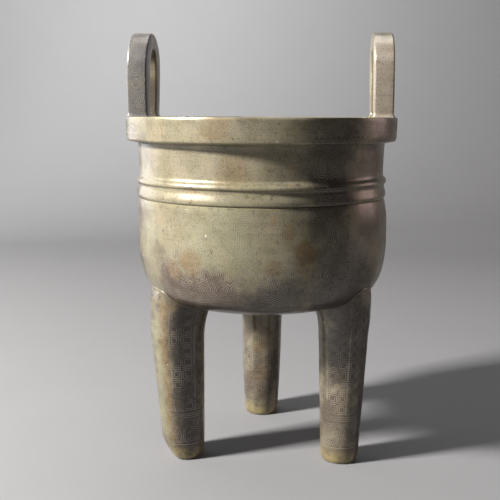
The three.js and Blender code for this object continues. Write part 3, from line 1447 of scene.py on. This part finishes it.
@dataclass
class InlayPiece:
    """All the wires of one zone, gathered as lines on the surface."""

    name: str
    wire: Wire
    points: list[np.ndarray] = field(default_factory=list)
    outward: list[np.ndarray] = field(default_factory=list)
    edges: list[tuple[int, int]] = field(default_factory=list)

    def lay(self, places: list[Place]) -> None:
        """Lay one wire.

        Args:
            places: Surface points and outward normals, in order.
        """
        if len(places) < 2:
            return
        start = len(self.points)
        sunk = self.wire.proud - self.wire.depth / 3.0
        for place, normal in places:
            self.points.append(place + unevenness(place) + normal * sunk)
            self.outward.append(normal)
        self.edges.extend((start + k, start + k + 1) for k in range(len(places) - 1))

    def build(self, tree: bpy.types.NodeTree, finish: Material) -> Solid:
        """Sweep the wire along the gathered lines.

        Args:
            tree: The wire's node tree.
            finish: Its material.

        Returns:
            The zone's wires as one plain mesh object, ready to ride.
        """
        mesh = bpy.data.meshes.new(self.name)
        mesh.from_pydata([tuple(p * MM) for p in self.points], self.edges, [])
        store = mesh.attributes.new("outward", "FLOAT_VECTOR", "POINT")
        store.data.foreach_set("vector", np.array(self.outward, dtype=np.float32).ravel())
        obj = bpy.data.objects.new(self.name, mesh)
        bpy.context.scene.collection.objects.link(obj)
        modifier = obj.modifiers.new("wire", "NODES")
        modifier.node_group = tree
        sockets = {s.name: s.identifier for s in tree.interface.items_tree if s.in_out == "INPUT"}
        modifier[sockets["Width"]] = self.wire.width * MM
        modifier[sockets["Depth"]] = self.wire.depth * MM
        modifier[sockets["Finish"]] = finish
        settle(obj)
        for name in [a.name for a in obj.data.attributes if a.name == "outward"]:
            obj.data.attributes.remove(obj.data.attributes[name])
        if not obj.data.materials:
            obj.data.materials.append(finish)
        ride(obj)
        LOG.info("%s: %d wires' points, %d faces", self.name, len(self.points), len(obj.data.polygons))
        return obj


def ride(obj: Solid) -> None:
    """Fix a piece to the vessel."""
    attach(obj, BODY)


@dataclass
class BowlZone:
    """A band of ornament round the bowl between two heights."""

    bowl: Bowl
    low: float
    high: float
    pitch: float
    around: float = 74.0

    @property
    def width(self) -> float:
        """Length of the band round the bowl."""
        return 2 * math.pi * self.around

    @property
    def height(self) -> float:
        """Height of the band along the surface."""
        return self.bowl.run_at(self.high) - self.bowl.run_at(self.low)

    def centres(self, count: int) -> list[float]:
        """Places round the band of the middles of equal repeats."""
        return [(k + 0.5) * (self.width / count) for k in range(count)]

    def rise_to(self, z: float) -> float:
        """Length up the band to a height on the bowl."""
        return self.bowl.run_at(z) - self.bowl.run_at(self.low)

    def place(self, line: Polyline) -> list[Place]:
        """Wrap a flat line onto the bowl.

        Args:
            line: Points with x round the band and y up it.

        Returns:
            Surface points and outward normals.
        """
        return self.bowl.surface(line[:, 0] / self.around, self.bowl.run_at(self.low) + line[:, 1])


@dataclass
class Inlay:
    """All the inlaid line work."""

    bowl: Bowl
    legs: list[Leg]
    handles: list[Handle]
    wire: Wire = field(default_factory=Wire)

    def _flow(self, piece: InlayPiece, zone: BowlZone, guides: list[np.ndarray]) -> None:
        """Fill a band with lines flowing round guides and lay them.

        Args:
            piece: Where the wires are gathered.
            zone: The band.
            guides: The band's guide lines.
        """
        flow = FlowField(zone.width, zone.height, zone.pitch, wraps=True)
        for line in flow.fill(guides, 1.7, 0.30):
            piece.lay(zone.place(line))

    def belly(self) -> InlayPiece:
        """Lay large scrolls on the belly above two rows of linked spirals.

        Returns:
            The zone's wires, gathered.
        """
        piece = InlayPiece("inlay_belly", self.wire)
        upper = BowlZone(self.bowl, 124.6, 153.6, 1.18)
        lower = BowlZone(self.bowl, 101.5, 124.0, 1.12)
        self._flow(piece, upper, self._large_scrolls(upper))
        self._flow(piece, lower, self._linked_rows(lower))
        return piece

    @staticmethod
    def _large_scrolls(zone: BowlZone) -> list[np.ndarray]:
        """Draw pairs of facing scrolls with bunches of strokes between them.

        Args:
            zone: The band they fill.

        Returns:
            The guide lines.
        """
        guides: list[np.ndarray] = []
        tall, gap, count = zone.height, 2 * zone.pitch, 5
        repeat = zone.width / count
        for k in range(count):
            x = (k + 0.28) * repeat
            for hand in (1, -1):
                def at(u: float, v: float) -> Pair:
                    """Stand a point on this side of the pair."""
                    return (x + hand * u, tall * v)

                guides.append(linked_spirals(at(14.0, 0.55), 6.2, at(5.6, 0.84), 3.0, gap, hand))
                guides.append(linked_spirals(at(29.5, 0.31), 5.4, at(39.5, 0.71), 4.0, gap, -hand))
                guides.append(spiral(at(7.6, 0.18), 3.2, gap, hand, math.pi / 2))
                strokes = (
                    (at(19.0, 0.04), at(22.6, 0.34)), (at(20.5, 0.80), at(27.0, 0.97)),
                    (at(28.5, 0.66), at(31.5, 0.92)), (at(39.0, 0.06), at(43.5, 0.36)),
                )
                guides.extend(np.array(stroke) for stroke in strokes)
            guides.append(np.array([(x, 0.4), (x, tall * 0.50)]))
            guides.append(np.array([(x + repeat / 2, tall * 0.20), (x + repeat / 2, tall * 0.62)]))
        return guides

    @staticmethod
    def _linked_rows(zone: BowlZone) -> list[np.ndarray]:
        """Draw a row of spirals, every second one linked to a smaller one above.

        Args:
            zone: The band they fill.

        Returns:
            The guide lines.
        """
        guides: list[np.ndarray] = []
        gap, count = 2 * zone.pitch, 29
        step = zone.width / count
        low, high = zone.rise_to(110.6), zone.rise_to(119.2)
        for k in range(count):
            x = (k + 0.2) * step
            hand = 1 if k % 2 else -1
            guides.append(linked_spirals((x, low), 3.5, (x + step * 0.24, high), 2.7, gap, hand))
            guides.append(spiral((x + step / 2, low - 0.4), 3.4, gap, -hand, math.pi / 2))
            guides.append(np.array([(x + step * 0.74, high - 1.6), (x + step * 0.74, high + 2.2)]))
        return guides

    def neck(self) -> InlayPiece:
        """Lay upright ovals and small scrolls round the neck.

        Returns:
            The zone's wires, gathered.
        """
        piece = InlayPiece("inlay_neck", self.wire)
        zone = BowlZone(self.bowl, 169.6, 184.8, 1.16, around=72.7)
        count, gap, y = 18, 2 * zone.pitch, zone.height / 2
        half = zone.width / count / 2
        guides: list[np.ndarray] = []
        for x in zone.centres(count):
            guides.append(linked_spirals((x - 4.4, y - 1.4), 3.6, (x + 4.4, y + 1.4), 3.6, gap, 1))
            guides.append(np.array([(x + half, y - 2.8), (x + half, y + 2.8)]))
        self._flow(piece, zone, guides)
        return piece

    def ring(self) -> InlayPiece:
        """Lay running scrolls on the lower ring and arcs in the channel.

        Returns:
            The zone's wires, gathered.
        """
        piece = InlayPiece("inlay_ring", self.wire)
        zone = BowlZone(self.bowl, 156.9, 161.3, 0.95)
        gap, y = 2 * zone.pitch, zone.height / 2
        guides = [linked_spirals((x - 2.1, y), 1.7, (x + 2.1, y), 1.7, gap, 1) for x in zone.centres(52)]
        self._flow(piece, zone, guides)
        channel = BowlZone(self.bowl, 162.3, 163.9, 1.0)
        turns = np.linspace(0.15, math.pi - 0.15, 6)
        for x in channel.centres(150):
            arc = np.stack((x + 1.25 * np.cos(turns), 0.1 + 1.2 * np.sin(turns)), axis=1)
            piece.lay(channel.place(arc))
        return piece

    def rim(self) -> InlayPiece:
        """Lay worn scrolls on the rim's side above a narrow row of squared spirals.

        Returns:
            The zone's wires, gathered.
        """
        piece = InlayPiece("inlay_rim", self.wire)
        zone = BowlZone(self.bowl, 193.6, 200.4, 1.12, around=79.8)
        gap, y = 2 * zone.pitch, zone.height / 2
        guides: list[np.ndarray] = []
        for k, x in enumerate(zone.centres(38)):
            hand = 1 if k % 2 else -1
            low, high = (x - 3.0, y - hand * 0.5), (x + 3.0, y + hand * 0.5)
            guides.append(linked_spirals(low, 2.6, high, 2.6, gap, hand))
        self._flow(piece, zone, guides)
        zone = BowlZone(self.bowl, 189.9, 192.5, 0.85, around=79.8)
        count = 150
        size = (zone.width / count - 0.7, zone.height - 0.3)
        for k, x in enumerate(zone.centres(count)):
            flip = (1 if k % 2 else -1, 1)
            piece.lay(zone.place(key_spiral((x, zone.height / 2), size, zone.pitch, flip)))
        edge = [(x, zone.height + 0.55) for x in np.linspace(0, zone.width, 240)]
        piece.lay(zone.place(np.array(edge)))
        return piece

    def leg_wires(self) -> InlayPiece:
        """Lay squared spirals down each leg, with scrolls above a plain foot.

        Returns:
            The zone's wires, gathered.
        """
        piece = InlayPiece("inlay_legs", self.wire)
        for leg in self.legs:
            self._leg(piece, leg)
        return piece

    def _leg(self, piece: InlayPiece, leg: Leg) -> None:
        """Lay the wires of one leg.

        Args:
            piece: Where the wires are gathered.
            leg: The leg.
        """
        around = 13.4
        width = 2 * math.pi * around
        turns = np.linspace(0, 2 * math.pi, 97)
        seams = np.array([leg.seam_z(turn, self.bowl) for turn in turns])

        def place(line: Polyline) -> None:
            """Lay a flat line on the leg, and leave out what would lie over the bowl.

            Args:
                line: Points with x round the leg and y up it.
            """
            run: list[Place] = []
            for x, z in line:
                turn = x / around
                if z > float(np.interp(turn % (2 * math.pi), turns, seams)) - 1.8:
                    piece.lay(run)
                    run = []
                    continue
                run.append(leg.surface(turn, z))
            piece.lay(run)

        columns, cell = 14, 6.7
        step = width / columns
        for k in range(columns):
            for row in range(11):
                middle = ((k + 0.5) * step, 34.6 + row * cell)
                flip = (1 if k % 2 else -1, 1 if (row + k // 2) % 2 else -1)
                place(divided(key_spiral(middle, (step - 1.0, cell - 1.1), 1.1, flip), 1.6))
            if k % 2 == 0:
                place(divided(np.array([(k * step, 31.2), (k * step, 104.0)]), 1.9))
        for z in (10.4, 27.4, 28.6, 29.8):
            place(divided(np.array([(0.0, z), (width, z)]), 1.4))
        flow = FlowField(width, 14.6, 1.15, wraps=True, cell=0.34)
        guides: list[np.ndarray] = []
        for k in range(5):
            x = (k + 0.5) * width / 5
            guides.append(linked_spirals((x - 3.2, 4.6), 3.2, (x + 3.2, 9.8), 3.2, 2.3, 1))
            guides.append(np.array([(x + 8.4, 2.6), (x + 8.4, 7.0)]))
            guides.append(np.array([(x - 4.6, 12.6), (x - 6.8, 9.4)]))
        for line in flow.fill(guides, 1.4, 0.32):
            place(line + np.array((0.0, 11.6)))

    def handle_wires(self) -> InlayPiece:
        """Lay large spirals along the handles' edges, loops and outer faces.

        Returns:
            The zone's wires, gathered.
        """
        piece = InlayPiece("inlay_handles", self.wire)
        for handle in self.handles:
            self._strip(piece, handle, handle.outer_line, 1, 4.2)
            self._strip(piece, handle, handle.loop_line, -1, 3.8)
            self._face(piece, handle)
        return piece

    def _strip(
        self, piece: InlayPiece, handle: Handle, track: np.ndarray, facing: int, radius: float
    ) -> None:
        """Lay scrolls along the bar's outer edge or along the wall of its loop.

        Args:
            piece: Where the wires are gathered.
            handle: The handle.
            track: The line from foot to foot that the strip follows.
            facing: 1 if the strip faces away from the loop, -1 if into it.
            radius: Radius of the spirals.
        """
        keep = track[track[:, 1] > handle.rim_z + 1.8]
        run = run_along(keep)
        length = float(run[-1])
        tall = handle.outer_x - handle.inner_x - 2 * handle.arris + 0.4
        middle = tall / 2
        mid_x = (handle.inner_x + handle.outer_x) / 2

        def on_track(u: float) -> Pair:
            """Read the strip's track at a length from its start."""
            return float(np.interp(u, run, keep[:, 0])), float(np.interp(u, run, keep[:, 1]))

        flow = FlowField(length, tall, 1.14, cell=0.33)
        for line in flow.fill(self._strip_scrolls(length, middle, radius), 1.5, 0.32):
            places = []
            for u, v in line:
                (y, z), (y0, z0), (y1, z1) = on_track(u), on_track(u - 0.3), on_track(u + 0.3)
                ny, nz = (z1 - z0) * facing, -(y1 - y0) * facing
                size = math.hypot(ny, nz) or 1.0
                normal = np.array((0.0, ny / size * handle.side, nz / size))
                places.append((handle.place(mid_x + v - middle, y, z), normal))
            piece.lay(places)

    @staticmethod
    def _strip_scrolls(length: float, middle: float, radius: float) -> list[np.ndarray]:
        """Draw the scrolls of a strip: large ones up each side and small ones over the arch.

        Args:
            length: Length of the strip.
            middle: Half its width.
            radius: Radius of the large spirals.

        Returns:
            The guide lines.
        """
        guides: list[np.ndarray] = []
        gap, large = 2.28, radius * 2 + 1.0
        for start, way in ((0.0, 1), (length, -1)):
            def at(u: float, v: float) -> Pair:
                """Stand a point at a distance from this end of the strip."""
                return (start + way * u, middle + v)

            first, second = at(5.6 + radius, 0.3), at(5.6 + radius + large, -0.3)
            low, high = at(17.8 + radius, 2.1), at(18.6 + radius, -2.2)
            guides.append(linked_spirals(at(2.4, -2.1), 1.9, at(3.4, 2.2), 1.9, gap, way, False))
            guides.append(linked_spirals(first, radius, second, radius, gap, way))
            guides.append(linked_spirals(low, 1.9, high, 1.9, gap, -way, False))
        arch = length - 2 * (22.0 + radius)
        count = max(int(arch / 7.4) // 2 * 2, 2)
        for k in range(0, count, 2):
            x = 22.0 + radius + (k + 0.5) * arch / count
            ends = (x, middle - 0.5), (x + arch / count, middle + 0.5)
            guides.append(linked_spirals(ends[0], 2.9, ends[1], 2.9, gap, 1))
        return guides

    def _face(self, piece: InlayPiece, handle: Handle) -> None:
        """Lay scrolls on the handle's outer face, clear of its edges.

        Args:
            piece: Where the wires are gathered.
            handle: The handle.
        """
        wide, tall = 2 * handle.half_width, handle.top_z - handle.rim_z
        flow = FlowField(wide, tall, 1.25, cell=0.36)
        guides: list[np.ndarray] = []
        for hand in (1, -1):
            places = ((13.6, 8.0), (15.6, 18.6), (16.6, 29.4), (9.0, 40.6))
            points = [(handle.half_width + hand * x, y) for x, y in places]
            guides.append(linked_spirals(points[0], 3.6, points[1], 3.9, 2.5, hand))
            guides.append(linked_spirals(points[2], 3.9, points[3], 2.7, 2.5, hand))
        edge, loop = handle.outer_line, handle.loop_line
        for line in flow.fill(guides, 1.7, 0.32, fewest=2):
            run: list[Place] = []
            for u, v in line:
                y, z = u - handle.half_width, v + handle.rim_z
                clear_edge = float(np.min(np.hypot(edge[:, 0] - y, edge[:, 1] - z)))
                clear_loop = float(np.min(np.hypot(loop[:, 0] - y, loop[:, 1] - z)))
                inside = self._within(edge, y, z) and not self._within(loop, y, z)
                if not inside or min(clear_edge, clear_loop) < handle.arris + 0.5 or v < 3.2:
                    piece.lay(run)
                    run = []
                    continue
                run.append((handle.place(handle.outer_x, y, z), np.array((float(handle.side), 0.0, 0.0))))
            piece.lay(run)

    @staticmethod
    def _within(outline: np.ndarray, y: float, z: float) -> bool:
        """Whether a point is inside a foot-to-foot outline.

        Args:
            outline: The outline's points.
            y: The point's place across.
            z: Its height.

        Returns:
            True if it is inside.
        """
        y0, z0 = outline[:, 0], outline[:, 1]
        y1, z1 = np.roll(y0, -1), np.roll(z0, -1)
        crosses = (z0 > z) != (z1 > z)
        safe = np.where(z1 == z0, 1.0, z1 - z0)
        hits = crosses & (y < (y1 - y0) * (z - z0) / safe + y0)
        return bool(hits.sum() % 2)

    def build(self, finish: Material) -> None:
        """Build every zone's wires.

        Args:
            finish: The wires' material.
        """
        tree = self.wire.tree()
        zones = (self.rim, self.neck, self.ring, self.belly, self.leg_wires, self.handle_wires)
        for zone in zones:
            zone().build(tree, finish)


# ---------------------------------------------------------------- the casting


@dataclass
class Casting:
    """The whole casting: the bowl, three legs and two handles, run together as one."""

    bowl: Bowl
    legs: list[Leg]
    handles: list[Handle]
    groove_width: float = 0.55
    groove_depth: float = 0.4
    crisp: float = 34.0

    def build(self) -> Solid:
        """Join the parts, open the leg seams and finish the surface by hand.

        Returns:
            The casting.
        """
        casting = self.bowl.build()
        for leg in self.legs:
            cutter = leg.build_cutter(self.bowl, self.groove_width)
            combine(cutter, self.bowl.build_core(self.groove_depth), Join.CUT)
            combine(casting, cutter, Join.CUT)
        for leg in self.legs:
            combine(casting, leg.build(self.bowl), Join.ADD)
        for handle in self.handles:
            combine(casting, handle.build(), Join.ADD)
        self.finish_by_hand(casting)
        return casting

    def finish_by_hand(self, casting: Solid) -> None:
        """Give the surface its slight unevenness and crisp edges.

        Args:
            casting: The joined casting.
        """
        mesh = casting.data
        count = len(mesh.vertices)
        flat = np.empty(count * 3, dtype=np.float64)
        mesh.vertices.foreach_get("co", flat)
        points = flat.reshape(-1, 3) / MM
        moved = np.array([p + unevenness(p) for p in points]) * MM
        mesh.vertices.foreach_set("co", moved.ravel())
        mesh.polygons.foreach_set("use_smooth", [True] * len(mesh.polygons))
        mesh.set_sharp_from_angle(angle=math.radians(self.crisp))
        mesh.update()

    def dress(self, casting: Solid, finish: Material) -> None:
        """Give the casting its finish and let it stand for the solid.

        Args:
            casting: The built casting.
            finish: The bronze.
        """
        casting.name = "ding_casting"
        casting.data.name = "ding_casting"
        casting.data.materials.clear()
        casting.data.materials.append(finish)
        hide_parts(CASTING_NODE)
        ride(casting)
        LOG.info("ding_casting: %d faces", len(casting.data.polygons))


# ---------------------------------------------------------------- the studio


@dataclass(frozen=True)
class Softbox:
    """A square soft light."""

    name: str
    bearing: float
    rise: float
    distance: float
    side: float
    power: float
    colour: Triple = (1.0, 1.0, 1.0)
    aim: Triple = (0.0, 0.0, 130.0)

    def build(self) -> None:
        """Hang the light round the vessel and turn it to its aim."""
        data = bpy.data.lights.new(self.name, "AREA")
        data.size = self.side
        data.energy = self.power
        data.color = self.colour
        lamp = bpy.data.objects.new(self.name, data)
        bpy.context.scene.collection.objects.link(lamp)
        a, e = math.radians(self.bearing), math.radians(self.rise)
        away = Vector((math.sin(a) * math.cos(e), -math.cos(a) * math.cos(e), math.sin(e)))
        lamp.location = Vector((0.0, 0.0, 130.0 * MM)) + away * self.distance
        back = lamp.location - Vector(self.aim) * MM
        lamp.rotation_euler = back.to_track_quat("Z", "Y").to_euler()


@dataclass
class Studio:
    """Floor, light and camera."""

    turn: float = 3.59
    distance: float = 496.1
    eye_height: float = 203.0
    heading: float = -0.75
    dip: float = 9.36
    roll: float = 0.21
    lens: float = 59.2
    paper_half_width: float = 3500.0
    paper_front: float = -3000.0
    paper_bend_start: float = 700.0
    paper_bend: float = 650.0
    paper_top: float = 2600.0
    surround: Triple = (0.50, 0.52, 0.56)
    surround_strength: float = 0.08
    paper_steps: int = 24
    lights: tuple[Softbox, ...] = (
        Softbox("key", -64, 31, distance=1.25, side=0.17, power=66.0, colour=(1.0, 0.975, 0.945)),
        Softbox("fill", 20, 38, distance=1.6, side=0.8, power=2.6, colour=(0.80, 0.88, 1.0)),
        Softbox("left_card", -122, 12, distance=1.2, side=0.8, power=5.0),
        Softbox("right_card", 112, 12, distance=1.2, side=0.5, power=1.5, colour=(1.0, 0.72, 0.70)),
        Softbox("top", 165, 72, distance=1.2, side=0.8, power=5.0),
        Softbox("wash", -150, 40, distance=0.9, side=0.5, power=14.0, aim=(-500.0, 1400.0, 900.0)),
    )

    def build_floor(self) -> None:
        """Lay the pale paper, which sweeps up behind the vessel."""
        track = [(self.paper_front, 0.0), (self.paper_bend_start, 0.0)]
        for k in range(1, self.paper_steps + 1):
            a = math.pi / 2 * k / self.paper_steps
            along = self.paper_bend_start + self.paper_bend * math.sin(a)
            track.append((along, self.paper_bend * (1 - math.cos(a))))
        track.append((track[-1][0], self.paper_top))
        vertices = [(x, y, z) for y, z in track for x in (-self.paper_half_width, self.paper_half_width)]
        faces = [(2 * k, 2 * k + 1, 2 * k + 3, 2 * k + 2) for k in range(len(track) - 1)]
        floor = make_object("floor", vertices, faces)
        floor.data.polygons.foreach_set("use_smooth", [True] * len(faces))
        floor.data.materials.append(FloorFinish().build())

    def build_light(self) -> None:
        """Hang the soft lights and set an even surround."""
        world = bpy.data.worlds.new("studio")
        bpy.context.scene.world = world
        world.use_nodes = True
        ground = world.node_tree.nodes["Background"]
        ground.inputs["Color"].default_value = (*self.surround, 1.0)
        ground.inputs["Strength"].default_value = self.surround_strength
        for light in self.lights:
            light.build()

    def build_camera(self) -> None:
        """Stand the camera in front, at the height of the rim."""
        turn = math.radians(self.turn)
        heading, dip, roll = (math.radians(v) for v in (self.heading, self.dip, self.roll))
        level = Matrix.Rotation(turn, 3, "Z")
        flat = math.cos(dip)
        ahead = level @ Vector((math.sin(heading) * flat, math.cos(heading) * flat, -math.sin(dip)))
        right = level @ Vector((math.cos(heading), -math.sin(heading), 0.0))
        up = right.cross(ahead)
        right_r = right * math.cos(roll) + up * math.sin(roll)
        up_r = up * math.cos(roll) - right * math.sin(roll)
        data = bpy.data.cameras.new("camera")
        data.sensor_width = 36.0
        data.lens = self.lens
        data.clip_start = 0.01
        camera = bpy.data.objects.new("camera", data)
        bpy.context.scene.collection.objects.link(camera)
        place = level @ Vector((0.0, -self.distance, self.eye_height)) * MM
        pose = Matrix((right_r, up_r, -ahead)).transposed().to_4x4()
        pose.translation = place
        camera.matrix_world = pose
        bpy.context.scene.camera = camera


# ---------------------------------------------------------------- patches of patina


def stains_and_painted_shade(bowl: Bowl, legs: list[Leg]) -> tuple[StainAndShadePatch, ...]:
    """Place the patches that stand out from the rest: stains in the patina, and patches of painted shade and
    a painted reflection.

    Args:
        bowl: The bowl they lie on.
        legs: The legs they lie on.

    Returns:
        The patches.
    """
    # The darkest brown patches are painted shade. They lie on the bowl's and legs' sides away from the key
    # light, under the bowl, and on the front-right leg's upper part, where the bowl's shadow falls.
    plum, rust, sage = (0.060, 0.035, 0.027), (0.15, 0.088, 0.028), (0.185, 0.18, 0.105)
    painted_shade_umber, fawn, painted_shade_and_reflection = (0.036, 0.027, 0.024), (0.33, 0.275, 0.23), (0.115, 0.112, 0.115)
    # Direction round the bowl, height, radius, colour and strength.
    on_bowl = (
        (-104, 139, 34, sage, 0.7), (-146, 132, 24, sage, 0.5), (-128, 110, 24, plum, 0.9),
        (-108, 108, 24, plum, 0.85), (-137, 126, 12, plum, 0.35), (-118, 125, 12, rust, 0.6),
        (-127, 119, 9, rust, 0.6), (-82, 124, 8, rust, 0.4), (-69, 131, 12, rust, 0.8),
        (-76, 142, 7, rust, 0.5), (-50, 119, 34, painted_shade_umber, 0.7), (-41, 136, 17, fawn, 0.3),
        (-58, 146, 22, painted_shade_umber, 0.55), (-33, 145, 20, painted_shade_umber, 0.5), (-99, 174, 15, rust, 0.35),
        (-104, 196, 14, rust, 0.45), (-56, 178, 30, painted_shade_umber, 0.6), (-30, 176, 22, painted_shade_umber, 0.5),
        (-56, 196, 26, painted_shade_umber, 0.5), (-28, 196, 20, painted_shade_umber, 0.5), (-55, 161, 22, painted_shade_umber, 0.5),
        (-45, 174, 8, fawn, 0.3), (-80, 103, 26, painted_shade_umber, 0.75), (-50, 104, 30, painted_shade_umber, 0.9),
        (60, 128, 34, painted_shade_umber, 0.7), (150, 135, 34, plum, 0.6), (110, 150, 22, rust, 0.4),
        (20, 122, 30, painted_shade_umber, 0.7), (95, 112, 30, plum, 0.7), (180, 112, 26, plum, 0.6),
    )
    # Leg, directions round it, heights, radius, colour and strength.
    on_legs = (
        (0, (36,), range(16, 96, 7), 7.5, rust, 0.5), (0, (86,), range(6, 96, 10), 16, painted_shade_umber, 0.95),
        (0, (6,), range(20, 90, 12), 11, sage, 0.6), (1, (-75, -30, 20), (56, 68, 80, 92), 13, painted_shade_umber, 0.9),
        (1, (5,), (8, 20, 32, 44), 14, painted_shade_umber, 0.9), (1, (-70,), (40,), 12, plum, 0.6),
        (2, (180,), (75, 62, 50, 30), 10, rust, 0.35), (2, (-60,), (15, 40, 65, 90), 13, painted_shade_umber, 0.8),
    )
    found = []
    for angle, z, radius, colour, strength in on_bowl:
        [(place, _)] = bowl.surface(np.array([math.radians(angle)]), np.array([bowl.run_at(z)]))
        found.append(StainAndShadePatch(tuple(float(c) for c in place), radius, colour, strength))
    for index, turns, heights, radius, colour, strength in on_legs:
        for z, turn in product(heights, turns):
            place, _ = legs[index].surface(math.radians(turn), z)
            found.append(StainAndShadePatch(tuple(float(c) for c in place), radius, colour, strength))
    # The grey-blue patches on the left handle are painted shade with a painted reflection of a bluish sky,
    # where the key light only grazes the handle.
    found += [StainAndShadePatch((-70.0, -16.0, z), 24.0, painted_shade_and_reflection, 0.9) for z in (208.0, 228.0, 244.0)]
    found += [StainAndShadePatch((70.0, -18.0, z), 17.0, fawn, 0.7) for z in (210.0, 224.0, 238.0)]
    return tuple(found)


# ---------------------------------------------------------------- main


def main() -> None:
    """Build the vessel and the studio in order."""
    logging.basicConfig(level=logging.INFO, format="%(name)s %(message)s")
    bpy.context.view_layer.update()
    bpy.context.scene.view_settings.view_transform = "Standard"

    studio = Studio()
    studio.build_camera()
    studio.build_floor()
    studio.build_light()

    bowl = Bowl()
    legs = [
        Leg(angle=211.2, foot_radius=51.2, knee_radius=54.9, top_radius=54.2, girth=1.03, worn=5.6),
        Leg(angle=332.6, foot_radius=55.5, knee_radius=56.7, top_radius=58.2, girth=0.945),
        Leg(angle=92.3, foot_radius=51.6, knee_radius=53.5, top_radius=54.2, girth=0.99),
    ]
    handles = [Handle(side=1), Handle(side=-1)]
    casting = Casting(bowl, legs, handles)
    patina = Patina(stains_and_painted_shade=stains_and_painted_shade(bowl, legs))
    casting.dress(casting.build(), BronzeFinish(patina).build())
    Inlay(bowl, legs, handles).build(WireFinish(patina).build())


if __name__ == "__main__":
    main()
